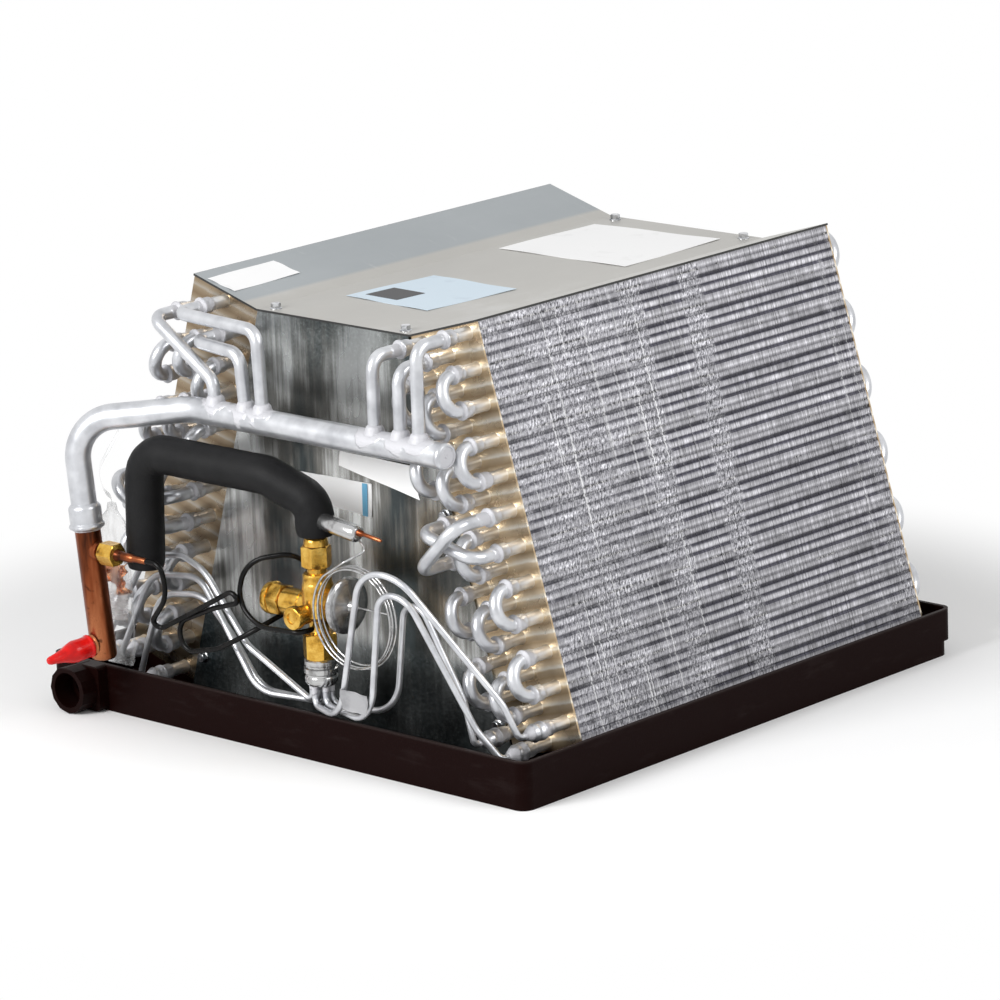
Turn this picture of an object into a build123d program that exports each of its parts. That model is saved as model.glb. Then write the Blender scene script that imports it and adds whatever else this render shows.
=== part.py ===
from build123d import *
import math
import os

os.makedirs("parts", exist_ok=True)

# An uncased A-coil evaporator. +Z is up, the piping side faces -Y, millimetres.
# Two leaning fin-and-tube slabs stand in a moulded drain pan and meet a folded top cover.

# ---- driving dimensions -------------------------------------------------------------------
MIDDLE_Y = 32.16            # the drain pan's middle, measured back from the part's own middle

TUBE_PITCH = 25.4           # centre distance of tubes along a slab
ROW_PITCH = 22.0            # distance from one row of tubes to the next
TUBES_PER_ROW = 12
ROWS = 3
TUBE_R = 4.7625             # 3/8 inch circuit tube
BELL_R = 5.9                # flared socket at the end of a circuit tube
BELL_LENGTH = 10.0
STUB_LENGTH = 16.0          # circuit tube between the tube sheet and its bell

LEAN = math.radians(16.34)  # each slab leans in from upright by this much
SLAB_TOP_X = 138.65         # outer top edge of a slab
SLAB_TOP_Z = 319.2
SLAB_FRONT = -164.6
SLAB_BACK = 222.5
SHEET = 1.5                 # every folded steel sheet
RIB_GROOVE = 1.0            # depth of the grooves along the face of a fin pack

PAN_W = 472.0
PAN_FRONT = -238.3
PAN_BACK = 243.2
PAN_H = 35.2
PAN_WALL = 3.0
AIR_X = 149.0               # half width of the air opening in the pan
AIR_FRONT = -150.0
AIR_BACK = 208.0
UPSTAND_H = 27.0

HEADER_R = 9.525            # 3/4 inch suction header and stub
HEADER_Y = -217.5
HEADER_Z = 236.0
CAPILLARY_R = 2.38          # 3/16 inch feeder tubes
FOAM_R = 14.3

# round bars are drawn with flats across their true diameter, so that the many tubes stay light
TUBE_SIDES = 8
ROUND_SIDES = 12            # header, stub, foam and turned pieces
SMALL_SIDES = 6             # feeder capillaries
WIRE_SIDES = 4              # equaliser tube and bulb capillary
CORNER = math.radians(45)   # a bend is drawn with mitred corners of about this much

VALVE_X = 29.5              # upright axis of the expansion valve
VALVE_Y = -222.0

# ---- derived sizes ------------------------------------------------------------------------
SLAB_DEPTH = ROWS * ROW_PITCH
SLAB_LENGTH = TUBES_PER_ROW * TUBE_PITCH
BELL_MOUTH = SLAB_FRONT - STUB_LENGTH - BELL_LENGTH
RIGHT, LEFT = 1, -1
FRONT_FACE = SLAB_FRONT - SHEET
BACK_FACE = SLAB_BACK + SHEET
SPREAD = math.tan(LEAN)


def at(x, y, z):
    """A place in the part, from a y that is counted from the pan's middle."""
    return Vector(x, y + MIDDLE_Y, z)


def across(y):
    """An upright plane that faces the front; its own x and y run along X and Z."""
    return Plane(origin=at(0, y, 0), x_dir=(1, 0, 0), z_dir=(0, -1, 0))


def slab_xz(side, depth, down):
    """X and Z of a place in a slab: depth in from its outer face, down from its top."""
    x = SLAB_TOP_X - depth * math.cos(LEAN) + down * math.sin(LEAN)
    z = SLAB_TOP_Z - depth * math.sin(LEAN) - down * math.cos(LEAN)
    return side * x, z


def tube_xz(side, row, number):
    """X and Z of a tube. The left slab is the right one turned upside down."""
    staggered = (row == 1) == (side == RIGHT)
    first = TUBE_PITCH * (0.75 if staggered else 0.25)
    return slab_xz(side, ROW_PITCH * (row + 0.5), first + TUBE_PITCH * (number - 1))


def slab_tubes(side):
    return [tube_xz(side, row, n) for row in range(ROWS) for n in range(1, TUBES_PER_ROW + 1)]


def rod(start, end, radius, mode=Mode.ADD, sides=ROUND_SIDES):
    """Add a straight bar to the part being built, or take one out of it."""
    run = end - start
    with BuildSketch(Plane(origin=start, z_dir=run)) as section:
        RegularPolygon(radius, sides, major_radius=False)
    extrude(section.sketch, amount=run.length, mode=mode)


def hexagon_bar(start, end, across_flats):
    rod(start, end, across_flats / 2, sides=6)


def turned(start, direction, profile, sides=ROUND_SIDES):
    """Build up a turned piece from (distance along its axis, radius) pairs."""
    for (near, near_r), (far, far_r) in zip(profile, profile[1:]):
        if far_r == near_r:
            rod(start + direction * near, start + direction * far, near_r, sides=sides)
        elif far > near:
            with BuildSketch(Plane(origin=start + direction * near, z_dir=direction)) as bottom:
                RegularPolygon(near_r, sides, major_radius=False)
            with BuildSketch(Plane(origin=start + direction * far, z_dir=direction)) as top:
                RegularPolygon(far_r, sides, major_radius=False)
            loft([bottom.sketch.face(), top.sketch.face()], ruled=True)


def mitred(points, bend):
    """The corners of a bent tube's route, with each round bend drawn as a few mitres."""
    corners = [points[0]]
    for before, corner, after in zip(points, points[1:], points[2:]):
        into, out = (corner - before).normalized(), (after - corner).normalized()
        turn = math.acos(into.dot(out))
        count = max(1, round(turn / CORNER))
        centre = corner + (out - into).normalized() * (bend / math.cos(turn / 2))
        spoke = corner - into * (bend * math.tan(turn / 2)) - centre
        stretch = 1 / math.cos(turn / 2 / count)
        for i in range(count):
            angle = turn * (i + 0.5) / count
            corners.append(centre + (spoke * math.cos(angle) + into * (bend * math.sin(angle))) * stretch)
    return corners + [points[-1]]


def pipe(points, radius, bend, sides=TUBE_SIDES, bore=0.0):
    """Sweep a tube along straight runs joined by bends of one radius."""
    with BuildLine() as route:
        Polyline(*mitred(points, bend))
    with BuildSketch(Plane(origin=points[0], z_dir=points[1] - points[0])) as section:
        RegularPolygon(radius, sides, major_radius=False)
        if bore:
            RegularPolygon(bore, sides, major_radius=False, mode=Mode.SUBTRACT)
    sweep(section.sketch, path=route.wire(), transition=Transition.RIGHT)


def half_ring(x1, z1, x2, z2, y, outward):
    """A return bend: half a ring from one tube end to the next, outward along Y."""
    start, end = at(x1, y, z1), at(x2, y, z2)
    reach = (end - start).length / 2
    out = Vector(0, outward * reach, 0)
    pipe([start, start + out, end + out, end], TUBE_R, reach - 0.01)


# ---- drain pan ----------------------------------------------------------------------------
# One moulding: outer tray, upstand round the air opening, ramps under the slabs, drain boss.
BOSS_X, BOSS_Z, BOSS_R = -194.5, 18.0, 17.0
BOSS_FRONT = -262.0
PAN_MIDDLE = (PAN_FRONT + PAN_BACK) / 2
PAN_D = PAN_BACK - PAN_FRONT
STEP_IN, STEP_H = 5.0, 11.0   # the foot of the back wall is set in

with BuildPart() as drain_pan:
    with BuildSketch(Plane.XY.offset(STEP_H)):
        with Locations((0, PAN_MIDDLE + MIDDLE_Y)):
            RectangleRounded(PAN_W, PAN_D, 9)
    extrude(amount=PAN_H - STEP_H)
    with BuildSketch():
        with Locations((0, PAN_MIDDLE + MIDDLE_Y - STEP_IN / 2)):
            RectangleRounded(PAN_W, PAN_D - STEP_IN, 9)
    extrude(amount=STEP_H)
    with BuildSketch(Plane.XY.offset(STEP_H + PAN_WALL)):
        with Locations((0, PAN_MIDDLE + MIDDLE_Y)):
            RectangleRounded(PAN_W - 2 * PAN_WALL, PAN_D - 2 * PAN_WALL, 6)
    extrude(amount=PAN_H, mode=Mode.SUBTRACT)
    with BuildSketch(Plane.XY.offset(PAN_WALL)):
        with Locations((0, PAN_MIDDLE + MIDDLE_Y - STEP_IN / 2)):
            RectangleRounded(PAN_W - 2 * PAN_WALL, PAN_D - STEP_IN - 2 * PAN_WALL, 6)
    extrude(amount=STEP_H, mode=Mode.SUBTRACT)
    # upstand and air opening
    air_d = AIR_BACK - AIR_FRONT
    air_y = (AIR_BACK + AIR_FRONT) / 2 + MIDDLE_Y
    with BuildSketch():
        with Locations((0, air_y)):
            RectangleRounded(2 * (AIR_X + PAN_WALL), air_d + 2 * PAN_WALL, 8)
    extrude(amount=UPSTAND_H)
    with BuildSketch():
        with Locations((0, air_y)):
            RectangleRounded(2 * AIR_X, air_d, 5)
    extrude(amount=UPSTAND_H, mode=Mode.SUBTRACT)
    # ramps that the leaning slabs stand on
    ramp_in, ramp_low = slab_xz(RIGHT, SLAB_DEPTH, SLAB_LENGTH)
    ramp_out = PAN_W / 2 - PAN_WALL / 2
    for side in (RIGHT, LEFT):
        for y in (-140, -50, 40, 130, 205):
            with BuildSketch(across(y + 2)):
                with BuildLine():
                    Polyline(
                        (side * (AIR_X + 2), 1.5),
                        (side * ramp_out, 1.5),
                        (side * ramp_out, ramp_low + SPREAD * (ramp_out - ramp_in)),
                        (side * ramp_in, ramp_low),
                        (side * (AIR_X + 2), ramp_low),
                        close=True,
                    )
                make_face()
            extrude(amount=4)
    # drain boss with its female thread, on a square pad
    with BuildSketch(across(PAN_FRONT + 1)):
        with Locations((BOSS_X, PAN_H / 2 + 0.5)):
            RectangleRounded(2 * BOSS_R + 4, PAN_H - 1, 4)
    extrude(amount=10.5)
    rod(at(BOSS_X, PAN_FRONT, BOSS_Z), at(BOSS_X, BOSS_FRONT, BOSS_Z), BOSS_R)
    with BuildSketch(across(BOSS_FRONT + 18)):
        with Locations((BOSS_X, BOSS_Z)):
            Circle(13.3)
    extrude(amount=20, mode=Mode.SUBTRACT)
    with BuildSketch(across(PAN_FRONT + 6)):
        with Locations((BOSS_X, BOSS_Z)):
            Circle(10)
    extrude(amount=20, mode=Mode.SUBTRACT)
drain_pan.part.label = "drain_pan"
export_step(drain_pan.part, "parts/drain_pan.step")


# ---- slabs: fin packs, tube sheets, circuit tubes -----------------------------------------
def fin_outline(side):
    """Section of a fin pack, with a groove between the fin ribs on both broad faces."""
    ribs = 2 * TUBES_PER_ROW
    rib = SLAB_LENGTH / ribs
    outer, inner = [slab_xz(side, 0, 0)], [slab_xz(side, SLAB_DEPTH, 0)]
    for i in range(1, ribs):
        for shift, depth in ((-1.3, 0), (0, RIB_GROOVE), (1.3, 0)):
            outer.append(slab_xz(side, depth, i * rib + shift))
            inner.append(slab_xz(side, SLAB_DEPTH - depth, i * rib + shift))
    outer.append(slab_xz(side, 0, SLAB_LENGTH))
    inner.append(slab_xz(side, SLAB_DEPTH, SLAB_LENGTH))
    return outer + inner[::-1]


def sheet_outline(side):
    """A tube sheet covers a slab's end and has a tab inside it for the panel screws."""
    corners = [(0, 0), (SLAB_DEPTH, 0), (SLAB_DEPTH, 20), (SLAB_DEPTH + 14, 26)]
    corners += [(SLAB_DEPTH + 14, SLAB_LENGTH - 18), (SLAB_DEPTH, SLAB_LENGTH - 12)]
    corners += [(SLAB_DEPTH, SLAB_LENGTH), (0, SLAB_LENGTH)]
    return [slab_xz(side, depth, down) for depth, down in corners]


def plate(outline, y_back, thickness):
    """A flat plate cut to an outline, from y_back forward by its thickness."""
    with BuildSketch(across(y_back)) as section:
        with BuildLine():
            Polyline(*outline, close=True)
        make_face()
    extrude(section.sketch, amount=thickness)


PANEL_SCREWS = [slab_xz(side, SLAB_DEPTH + 7.5, down) for side in (RIGHT, LEFT) for down in (128, 281)]
FRONT_BENDS = [(0, 2), (0, 4), (0, 8), (0, 10), (1, 2), (1, 4), (1, 6), (1, 8), (1, 10)]
FRONT_BENDS += [(2, 2), (2, 4), (2, 8), (2, 10)]
BACK_BENDS = [(row, n) for row in range(ROWS) for n in range(1, TUBES_PER_ROW, 2)]

for side, name in ((RIGHT, "right"), (LEFT, "left")):
    with BuildPart() as fin_pack:
        plate(fin_outline(side), SLAB_BACK - SHEET, SLAB_BACK - SLAB_FRONT - 2 * SHEET)
    fin_pack.part.label = f"{name}_fin_pack"
    export_step(fin_pack.part, f"parts/{name}_fin_pack.step")

    with BuildPart() as front_tube_sheet:
        plate(sheet_outline(side), SLAB_FRONT + SHEET, SHEET)
    front_tube_sheet.part.label = f"{name}_front_tube_sheet"
    export_step(front_tube_sheet.part, f"parts/{name}_front_tube_sheet.step")

    with BuildPart() as back_tube_sheet:
        plate(sheet_outline(side), SLAB_BACK, SHEET)
    back_tube_sheet.part.label = f"{name}_back_tube_sheet"
    export_step(back_tube_sheet.part, f"parts/{name}_back_tube_sheet.step")

    # circuit tubes where they leave the front sheet, each with its flared socket
    with BuildPart() as circuit_tubes:
        with BuildSketch(across(SLAB_FRONT)):
            with Locations(*slab_tubes(side)):
                RegularPolygon(TUBE_R, TUBE_SIDES, major_radius=False)
        extrude(amount=STUB_LENGTH)
        with BuildSketch(across(SLAB_FRONT - STUB_LENGTH)):
            with Locations(*slab_tubes(side)):
                RegularPolygon(BELL_R, TUBE_SIDES, major_radius=False)
        extrude(amount=BELL_LENGTH)
    circuit_tubes.part.label = f"{name}_circuit_tubes"
    export_step(circuit_tubes.part, f"parts/{name}_circuit_tubes.step")

    with BuildPart() as return_bends:
        for row, n in FRONT_BENDS:
            half_ring(*tube_xz(side, row, n), *tube_xz(side, row, n + 1), BELL_MOUTH, -1)
    return_bends.part.label = f"{name}_return_bends"
    export_step(return_bends.part, f"parts/{name}_return_bends.step")

    with BuildPart() as hairpin_bends:
        for row, n in BACK_BENDS:
            half_ring(*tube_xz(side, row, n), *tube_xz(side, row, n + 1), SLAB_BACK, 1)
    hairpin_bends.part.label = f"{name}_hairpin_bends"
    export_step(hairpin_bends.part, f"parts/{name}_hairpin_bends.step")

# ---- crossover tubes: the outer and inner rows swap at the middle of each slab -------------
# near_y and far_y are how far forward a crossover lies at its outer and its inner tube.
CROSSOVERS = {
    "right_inner_crossover": (RIGHT, 7, 6, -213.4, -213.4),
    "right_outer_crossover": (RIGHT, 6, 7, -224.0, -224.0),
    "left_inner_crossover": (LEFT, 7, 6, -213.4, -213.4),
    "left_outer_crossover": (LEFT, 6, 7, -234.4, -215.2),
}
for name, (side, outer_tube, inner_tube, near_y, far_y) in CROSSOVERS.items():
    x1, z1 = tube_xz(side, 0, outer_tube)
    x2, z2 = tube_xz(side, 2, inner_tube)
    with BuildPart() as crossover:
        pipe(
            [at(x1, BELL_MOUTH, z1), at(x1, near_y, z1), at(x2, far_y, z2), at(x2, BELL_MOUTH, z2)],
            TUBE_R, 12,
        )
    crossover.part.label = name
    export_step(crossover.part, f"parts/{name}.step")

# ---- panels that close the ends of the A, and the folded top cover ------------------------
TOP_IN_X, TOP_IN_Z = slab_xz(RIGHT, SLAB_DEPTH, 0)
FOLD_X = TOP_IN_X - SHEET * math.tan(LEAN / 2)
WING_X = SLAB_TOP_X - SHEET * math.sin(LEAN)
WING_Z = SLAB_TOP_Z + SHEET * math.cos(LEAN)
COVER_SCREW_X = 64.0
FRONT_SCREW_Y, BACK_SCREW_Y = -157.5, 215.0
FLANGE = 15.0
PANEL_FOOT = 6.0

low_x, low_z = slab_xz(RIGHT, SLAB_DEPTH, SLAB_LENGTH)
panel_outline = [(-TOP_IN_X + 1, TOP_IN_Z), (TOP_IN_X - 1, TOP_IN_Z), (low_x - 1, low_z)]
panel_outline += [(low_x - 1, PANEL_FOOT), (-low_x + 1, PANEL_FOOT), (-low_x + 1, low_z)]


def end_panel(y_back, flange_middle):
    """A sheet panel with a flange folded in under the cover."""
    plate(panel_outline, y_back, SHEET)
    with BuildSketch(Plane.XY.offset(TOP_IN_Z - SHEET)) as flange:
        with Locations((0, flange_middle + MIDDLE_Y)):
            Rectangle(2 * TOP_IN_X - 10, FLANGE)
    extrude(flange.sketch, amount=SHEET)


with BuildPart() as front_panel:
    end_panel(SLAB_FRONT, SLAB_FRONT + FLANGE / 2)
front_panel.part.label = "front_panel"
export_step(front_panel.part, "parts/front_panel.step")

with BuildPart() as back_panel:
    end_panel(BACK_FACE, SLAB_BACK - FLANGE / 2)
back_panel.part.label = "back_panel"
export_step(back_panel.part, "parts/back_panel.step")

with BuildPart() as top_cover:
    under = [(SLAB_TOP_X, SLAB_TOP_Z), (TOP_IN_X, TOP_IN_Z), (-TOP_IN_X, TOP_IN_Z)]
    under += [(-SLAB_TOP_X, SLAB_TOP_Z)]
    over = [(-WING_X, WING_Z), (-FOLD_X, TOP_IN_Z + SHEET), (FOLD_X, TOP_IN_Z + SHEET)]
    over += [(WING_X, WING_Z)]
    plate(under + over, BACK_FACE, BACK_FACE - FRONT_FACE)
top_cover.part.label = "top_cover"
export_step(top_cover.part, "parts/top_cover.step")


def hex_screw(seat, inward):
    """The washer and hexagon head of a sheet-metal screw, seated on a face."""
    rod(seat - inward * 0.9, seat, 4.4, sides=8)
    hexagon_bar(seat - inward * 4.2, seat - inward * 0.9, 6.35)


with BuildPart() as cover_screws:
    for x in (-COVER_SCREW_X, COVER_SCREW_X):
        for y in (FRONT_SCREW_Y, BACK_SCREW_Y):
            hex_screw(at(x, y, TOP_IN_Z + SHEET), Vector(0, 0, -1))
cover_screws.part.label = "cover_screws"
export_step(cover_screws.part, "parts/cover_screws.step")

with BuildPart() as panel_screws:
    for x, z in PANEL_SCREWS:
        hex_screw(at(x, FRONT_FACE, z), Vector(0, 1, 0))
        hex_screw(at(x, BACK_FACE, z), Vector(0, -1, 0))
panel_screws.part.label = "panel_screws"
export_step(panel_screws.part, "parts/panel_screws.step")

# ---- suction header, its coupling and the copper stub -------------------------------------
HEADER_END = at(153.5, HEADER_Y, HEADER_Z)
ELBOW = at(-174, -260, 225)
STUB_END = at(-154, -260, 48)
STUB_RUN = (STUB_END - ELBOW).normalized()


def on_stub(z):
    """A place on the leaning axis of the copper stub, at a height."""
    return ELBOW + STUB_RUN * ((z - ELBOW.Z) / STUB_RUN.Z)


COUPLING_TOP = on_stub(163)
COUPLING = [(0, 10.8), (1.6, 12), (14, 12), (14.6, 13.2), (16.6, 13.2), (17.4, 11.4)]
STUB_TOP = COUPLING_TOP + STUB_RUN * COUPLING[-1][0]

with BuildPart() as suction_header:
    pipe([HEADER_END, at(-93.5, HEADER_Y, HEADER_Z), ELBOW, COUPLING_TOP], HEADER_R, 36, ROUND_SIDES)
suction_header.part.label = "suction_header"
export_step(suction_header.part, "parts/suction_header.step")

with BuildPart() as header_cap:
    turned(HEADER_END, Vector(1, 0, 0), [(0, HEADER_R), (1.2, HEADER_R), (2.4, HEADER_R - 1.4)])
header_cap.part.label = "header_cap"
export_step(header_cap.part, "parts/header_cap.step")

with BuildPart() as stub_coupling:
    turned(COUPLING_TOP, STUB_RUN, COUPLING)
stub_coupling.part.label = "stub_coupling"
export_step(stub_coupling.part, "parts/stub_coupling.step")

# the stub is spun shut at its foot; a boss for the equaliser and a charging port are brazed on
EQUALISER_Z = 130.0
PORT_Z = 62.0
boss_root, port_root = on_stub(EQUALISER_Z), on_stub(PORT_Z)
PORT_RUN = Vector(-0.18, -0.975, -0.125).normalized()
with BuildPart() as suction_stub:
    stub_length = (STUB_TOP - STUB_END).length
    spun_end = [(0, HEADER_R - 4), (1.3, HEADER_R - 1.3), (4, HEADER_R), (stub_length, HEADER_R)]
    turned(STUB_END, -STUB_RUN, spun_end)
    turned(boss_root, Vector(1, 0, 0), [(0, 7.5), (9.5, 6.6), (11.5, 4.5)])
    turned(port_root, PORT_RUN, [(0, 6.5), (10.2, 6.5), (10.8, 5.2), (18, 5.2)])
suction_stub.part.label = "suction_stub"
export_step(suction_stub.part, "parts/suction_stub.step")

with BuildPart() as port_cap:
    CAP = [(0, 8.2), (1.2, 8.6), (18, 7.6), (24, 5.2), (35, 3.2), (37.5, 1.8)]
    turned(port_root + PORT_RUN * 10.8, PORT_RUN, CAP)
    rod(port_root, port_root + PORT_RUN * 18, 5.2, Mode.SUBTRACT)
port_cap.part.label = "port_cap"
export_step(port_cap.part, "parts/port_cap.step")

# ---- feeders from the first tube of each row to the header --------------------------------
def feeder_route(side, row, drop_x, middle):
    """A feeder's points: out of its bell, forward, along and down onto the header."""
    x, z = tube_xz(side, row, 1)
    return [at(x, BELL_MOUTH, z)] + middle + [at(drop_x, HEADER_Y, HEADER_Z)]


r_in_x, r_in_z = tube_xz(RIGHT, 2, 1)
r_mid_x, r_mid_z = tube_xz(RIGHT, 1, 1)
r_out_x, r_out_z = tube_xz(RIGHT, 0, 1)
l_in_x, l_in_z = tube_xz(LEFT, 2, 1)
l_mid_x, l_mid_z = tube_xz(LEFT, 1, 1)
l_out_x, l_out_z = tube_xz(LEFT, 0, 1)
FEEDERS = {
    "right_inner_feeder": (RIGHT, 2, r_in_x, [at(r_in_x, HEADER_Y, r_in_z)]),
    "right_middle_feeder": (RIGHT, 1, r_mid_x, [at(r_mid_x, HEADER_Y, r_mid_z)]),
    "right_outer_feeder": (RIGHT, 0, r_out_x, [at(r_out_x, HEADER_Y, r_out_z)]),
    "left_inner_feeder": (LEFT, 2, -38.5, [at(l_in_x, -214, l_in_z), at(-43, HEADER_Y, 283)]),
    "left_middle_feeder": (LEFT, 1, -22.0, [at(l_mid_x, -213, l_mid_z), at(-25, HEADER_Y, 302)]),
    "left_outer_feeder": (LEFT, 0, -69.0, [at(l_out_x, -214, l_out_z), at(-71, HEADER_Y, 260)]),
}
for name, (side, row, drop_x, middle) in FEEDERS.items():
    with BuildPart() as feeder:
        pipe(feeder_route(side, row, drop_x, middle), TUBE_R, 11)
        rod(at(drop_x - 20, HEADER_Y, HEADER_Z), at(drop_x + 20, HEADER_Y, HEADER_Z), HEADER_R, Mode.SUBTRACT)
    feeder.part.label = name
    export_step(feeder.part, f"parts/{name}.step")

# ---- insulated liquid line ----------------------------------------------------------------
LINE_END = at(VALVE_X, VALVE_Y, 161)
LINE_FOOT = at(-130.5, -236, 117)
LINE_BENDS = [at(-127, -236, 204), at(-8, -230, 202), at(VALVE_X, VALVE_Y, 186)]
BARE_END = (LINE_FOOT - LINE_BENDS[0]).normalized() * 20    # it sticks out of the foam
BULB_START, BULB_END = at(40, -225, 174.5), at(75, -225, 170)


with BuildPart() as liquid_line:
    pipe([LINE_FOOT + BARE_END] + LINE_BENDS + [LINE_END], TUBE_R, 22)
liquid_line.part.label = "liquid_line"
export_step(liquid_line.part, "parts/liquid_line.step")

with BuildPart() as foam_sleeve:
    pipe([LINE_FOOT] + LINE_BENDS + [LINE_END + Vector(0, 0, 1.5)], FOAM_R, 22, ROUND_SIDES, TUBE_R * 1.09)
    rod(BULB_START, BULB_END, 6.25, Mode.SUBTRACT)
foam_sleeve.part.label = "foam_sleeve"
export_step(foam_sleeve.part, "parts/foam_sleeve.step")

# ---- expansion valve ----------------------------------------------------------------------
UP, DOWN = Vector(0, 0, 1), Vector(0, 0, -1)


def on_valve(z):
    return at(VALVE_X, VALVE_Y, z)


with BuildPart() as inlet_nut:
    hexagon_bar(on_valve(139), on_valve(155), 19.05)
    turned(on_valve(155), UP, [(0, 9), (6, 8.2)])
inlet_nut.part.label = "inlet_nut"
export_step(inlet_nut.part, "parts/inlet_nut.step")

PORT_Y_Z = 109.0
with BuildPart() as valve_body:
    turned(on_valve(139), DOWN, [(0, 7), (4, 7), (5, 10.5), (11, 10.5), (14, 11.5), (36, 11.5), (39, 7.5), (48, 7.5)])
    # superheat stem housing toward -X
    turned(at(VALVE_X, VALVE_Y, PORT_Y_Z), Vector(-1, 0, 0), [(0, 10), (32, 10)])
    # neck that carries the power head, toward +X
    turned(at(VALVE_X, VALVE_Y, 115), Vector(1, 0, 0), [(0, 9.5), (18, 9.5), (19, 11), (23, 11)])
    # front boss
    turned(at(VALVE_X - 5, VALVE_Y, 105), Vector(0, -1, 0), [(0, 7), (17, 7)])
valve_body.part.label = "valve_body"
export_step(valve_body.part, "parts/valve_body.step")

with BuildPart() as stem_cap:
    start = at(VALVE_X - 32, VALVE_Y, PORT_Y_Z)
    hexagon_bar(start, start + Vector(-11, 0, 0), 21)
    turned(start + Vector(-11, 0, 0), Vector(-1, 0, 0), [(0, 12), (4, 12), (5.5, 11)])
stem_cap.part.label = "stem_cap"
export_step(stem_cap.part, "parts/stem_cap.step")

with BuildPart() as front_plug:
    start = at(VALVE_X - 5, VALVE_Y - 17, 105)
    turned(start, Vector(0, -1, 0), [(0, 8.6), (5, 8.6), (6, 7.6)])
front_plug.part.label = "front_plug"
export_step(front_plug.part, "parts/front_plug.step")

with BuildPart() as outlet_nut:
    hexagon_bar(on_valve(91), on_valve(72), 22.2)
outlet_nut.part.label = "outlet_nut"
export_step(outlet_nut.part, "parts/outlet_nut.step")

with BuildPart() as power_head:
    HEAD = [(0, 9), (1.5, 17), (3.5, 20.5), (6, 20.5), (8, 17.5), (9.5, 8), (10, 4.6), (15, 3.2), (17, 1.4)]
    turned(at(VALVE_X + 23, VALVE_Y, 115), Vector(1, 0, 0), HEAD)
power_head.part.label = "power_head"
export_step(power_head.part, "parts/power_head.step")

with BuildPart() as distributor:
    RIBS = [(0, 11), (1, 12), (4, 12), (4.8, 11), (5.8, 11), (6.6, 12.4), (10, 12.4), (11, 11.2), (12, 11.2)]
    turned(on_valve(72), DOWN, RIBS + [(13, 12), (16, 12), (20, 9.5)])
distributor.part.label = "distributor"
export_step(distributor.part, "parts/distributor.step")

# ---- feeder capillaries and the cones that join them to the last tube of each row ----------
CONE = [(0, BELL_R), (4, BELL_R), (6, 6.8), (13.5, 3.2)]
CONE_TIP = BELL_MOUTH - 13.5


def feed_end(side, row):
    """The last two points of a capillary, straight into its cone."""
    x, z = tube_xz(side, row, TUBES_PER_ROW)
    return [at(x, CONE_TIP - 8, z), at(x, CONE_TIP, z)]


CAPILLARIES = {
    "right_outer_capillary": (RIGHT, 0, [at(29, -229, 52), at(29, -229, 38), at(68, -244, 39),
                                         at(99, -251, 152), at(136, -251, 155), at(200, -218, 66)]),
    "right_middle_capillary": (RIGHT, 1, [at(36, -225, 52), at(36, -225, 39), at(98, -244, 40),
                                          at(112, -246, 138), at(138, -245, 138), at(176, -220, 44)]),
    "right_inner_capillary": (RIGHT, 2, [at(35, -218, 52), at(35, -218, 38), at(97, -216, 40),
                                         at(110, -219, 122), at(128, -220, 125), at(158, -212, 60)]),
    "left_outer_capillary": (LEFT, 0, [at(23, -225, 52), at(23, -225, 38.5), at(-36, -230, 72),
                                       at(-80, -226, 119), at(-112, -217, 124), at(-152, -215, 118)]),
    "left_middle_capillary": (LEFT, 1, [at(24, -219, 52), at(24, -219, 38), at(-26, -231, 39),
                                        at(-62, -226, 82), at(-96, -216, 110), at(-148, -215, 104)]),
    "left_inner_capillary": (LEFT, 2, [at(29, -215, 52), at(29, -215, 36), at(-36, -217, 36),
                                       at(-66, -216, 72), at(-94, -215, 97), at(-140, -215, 90)]),
}
for name, (side, row, route) in CAPILLARIES.items():
    with BuildPart() as capillary:
        pipe(route + feed_end(side, row), CAPILLARY_R, 7, SMALL_SIDES)
    capillary.part.label = name
    export_step(capillary.part, f"parts/{name}.step")

with BuildPart() as joint_cones:
    for side in (RIGHT, LEFT):
        for row in range(ROWS):
            x, z = tube_xz(side, row, TUBES_PER_ROW)
            turned(at(x, BELL_MOUTH, z), Vector(0, -1, 0), CONE, SMALL_SIDES)
joint_cones.part.label = "joint_cones"
export_step(joint_cones.part, "parts/joint_cones.step")

# ---- equaliser: brass flare nut on the stub, then a thin plastic-coated tube to the valve --
nut_start = boss_root + Vector(11.5, 0, 0)
with BuildPart() as equaliser_nut:
    rod(nut_start, nut_start + Vector(3, 0, 0), 4.5)
    hexagon_bar(nut_start + Vector(3, 0, 0), nut_start + Vector(17, 0, 0), 15.9)
equaliser_nut.part.label = "equaliser_nut"
export_step(equaliser_nut.part, "parts/equaliser_nut.step")

with BuildPart() as equaliser_sleeve:
    turned(nut_start + Vector(17, 0, 0), Vector(1, 0, 0), [(0, 3.8), (16, 3.2), (17, 2.6), (30, 2.3)])
equaliser_sleeve.part.label = "equaliser_sleeve"
export_step(equaliser_sleeve.part, "parts/equaliser_sleeve.step")

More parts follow.
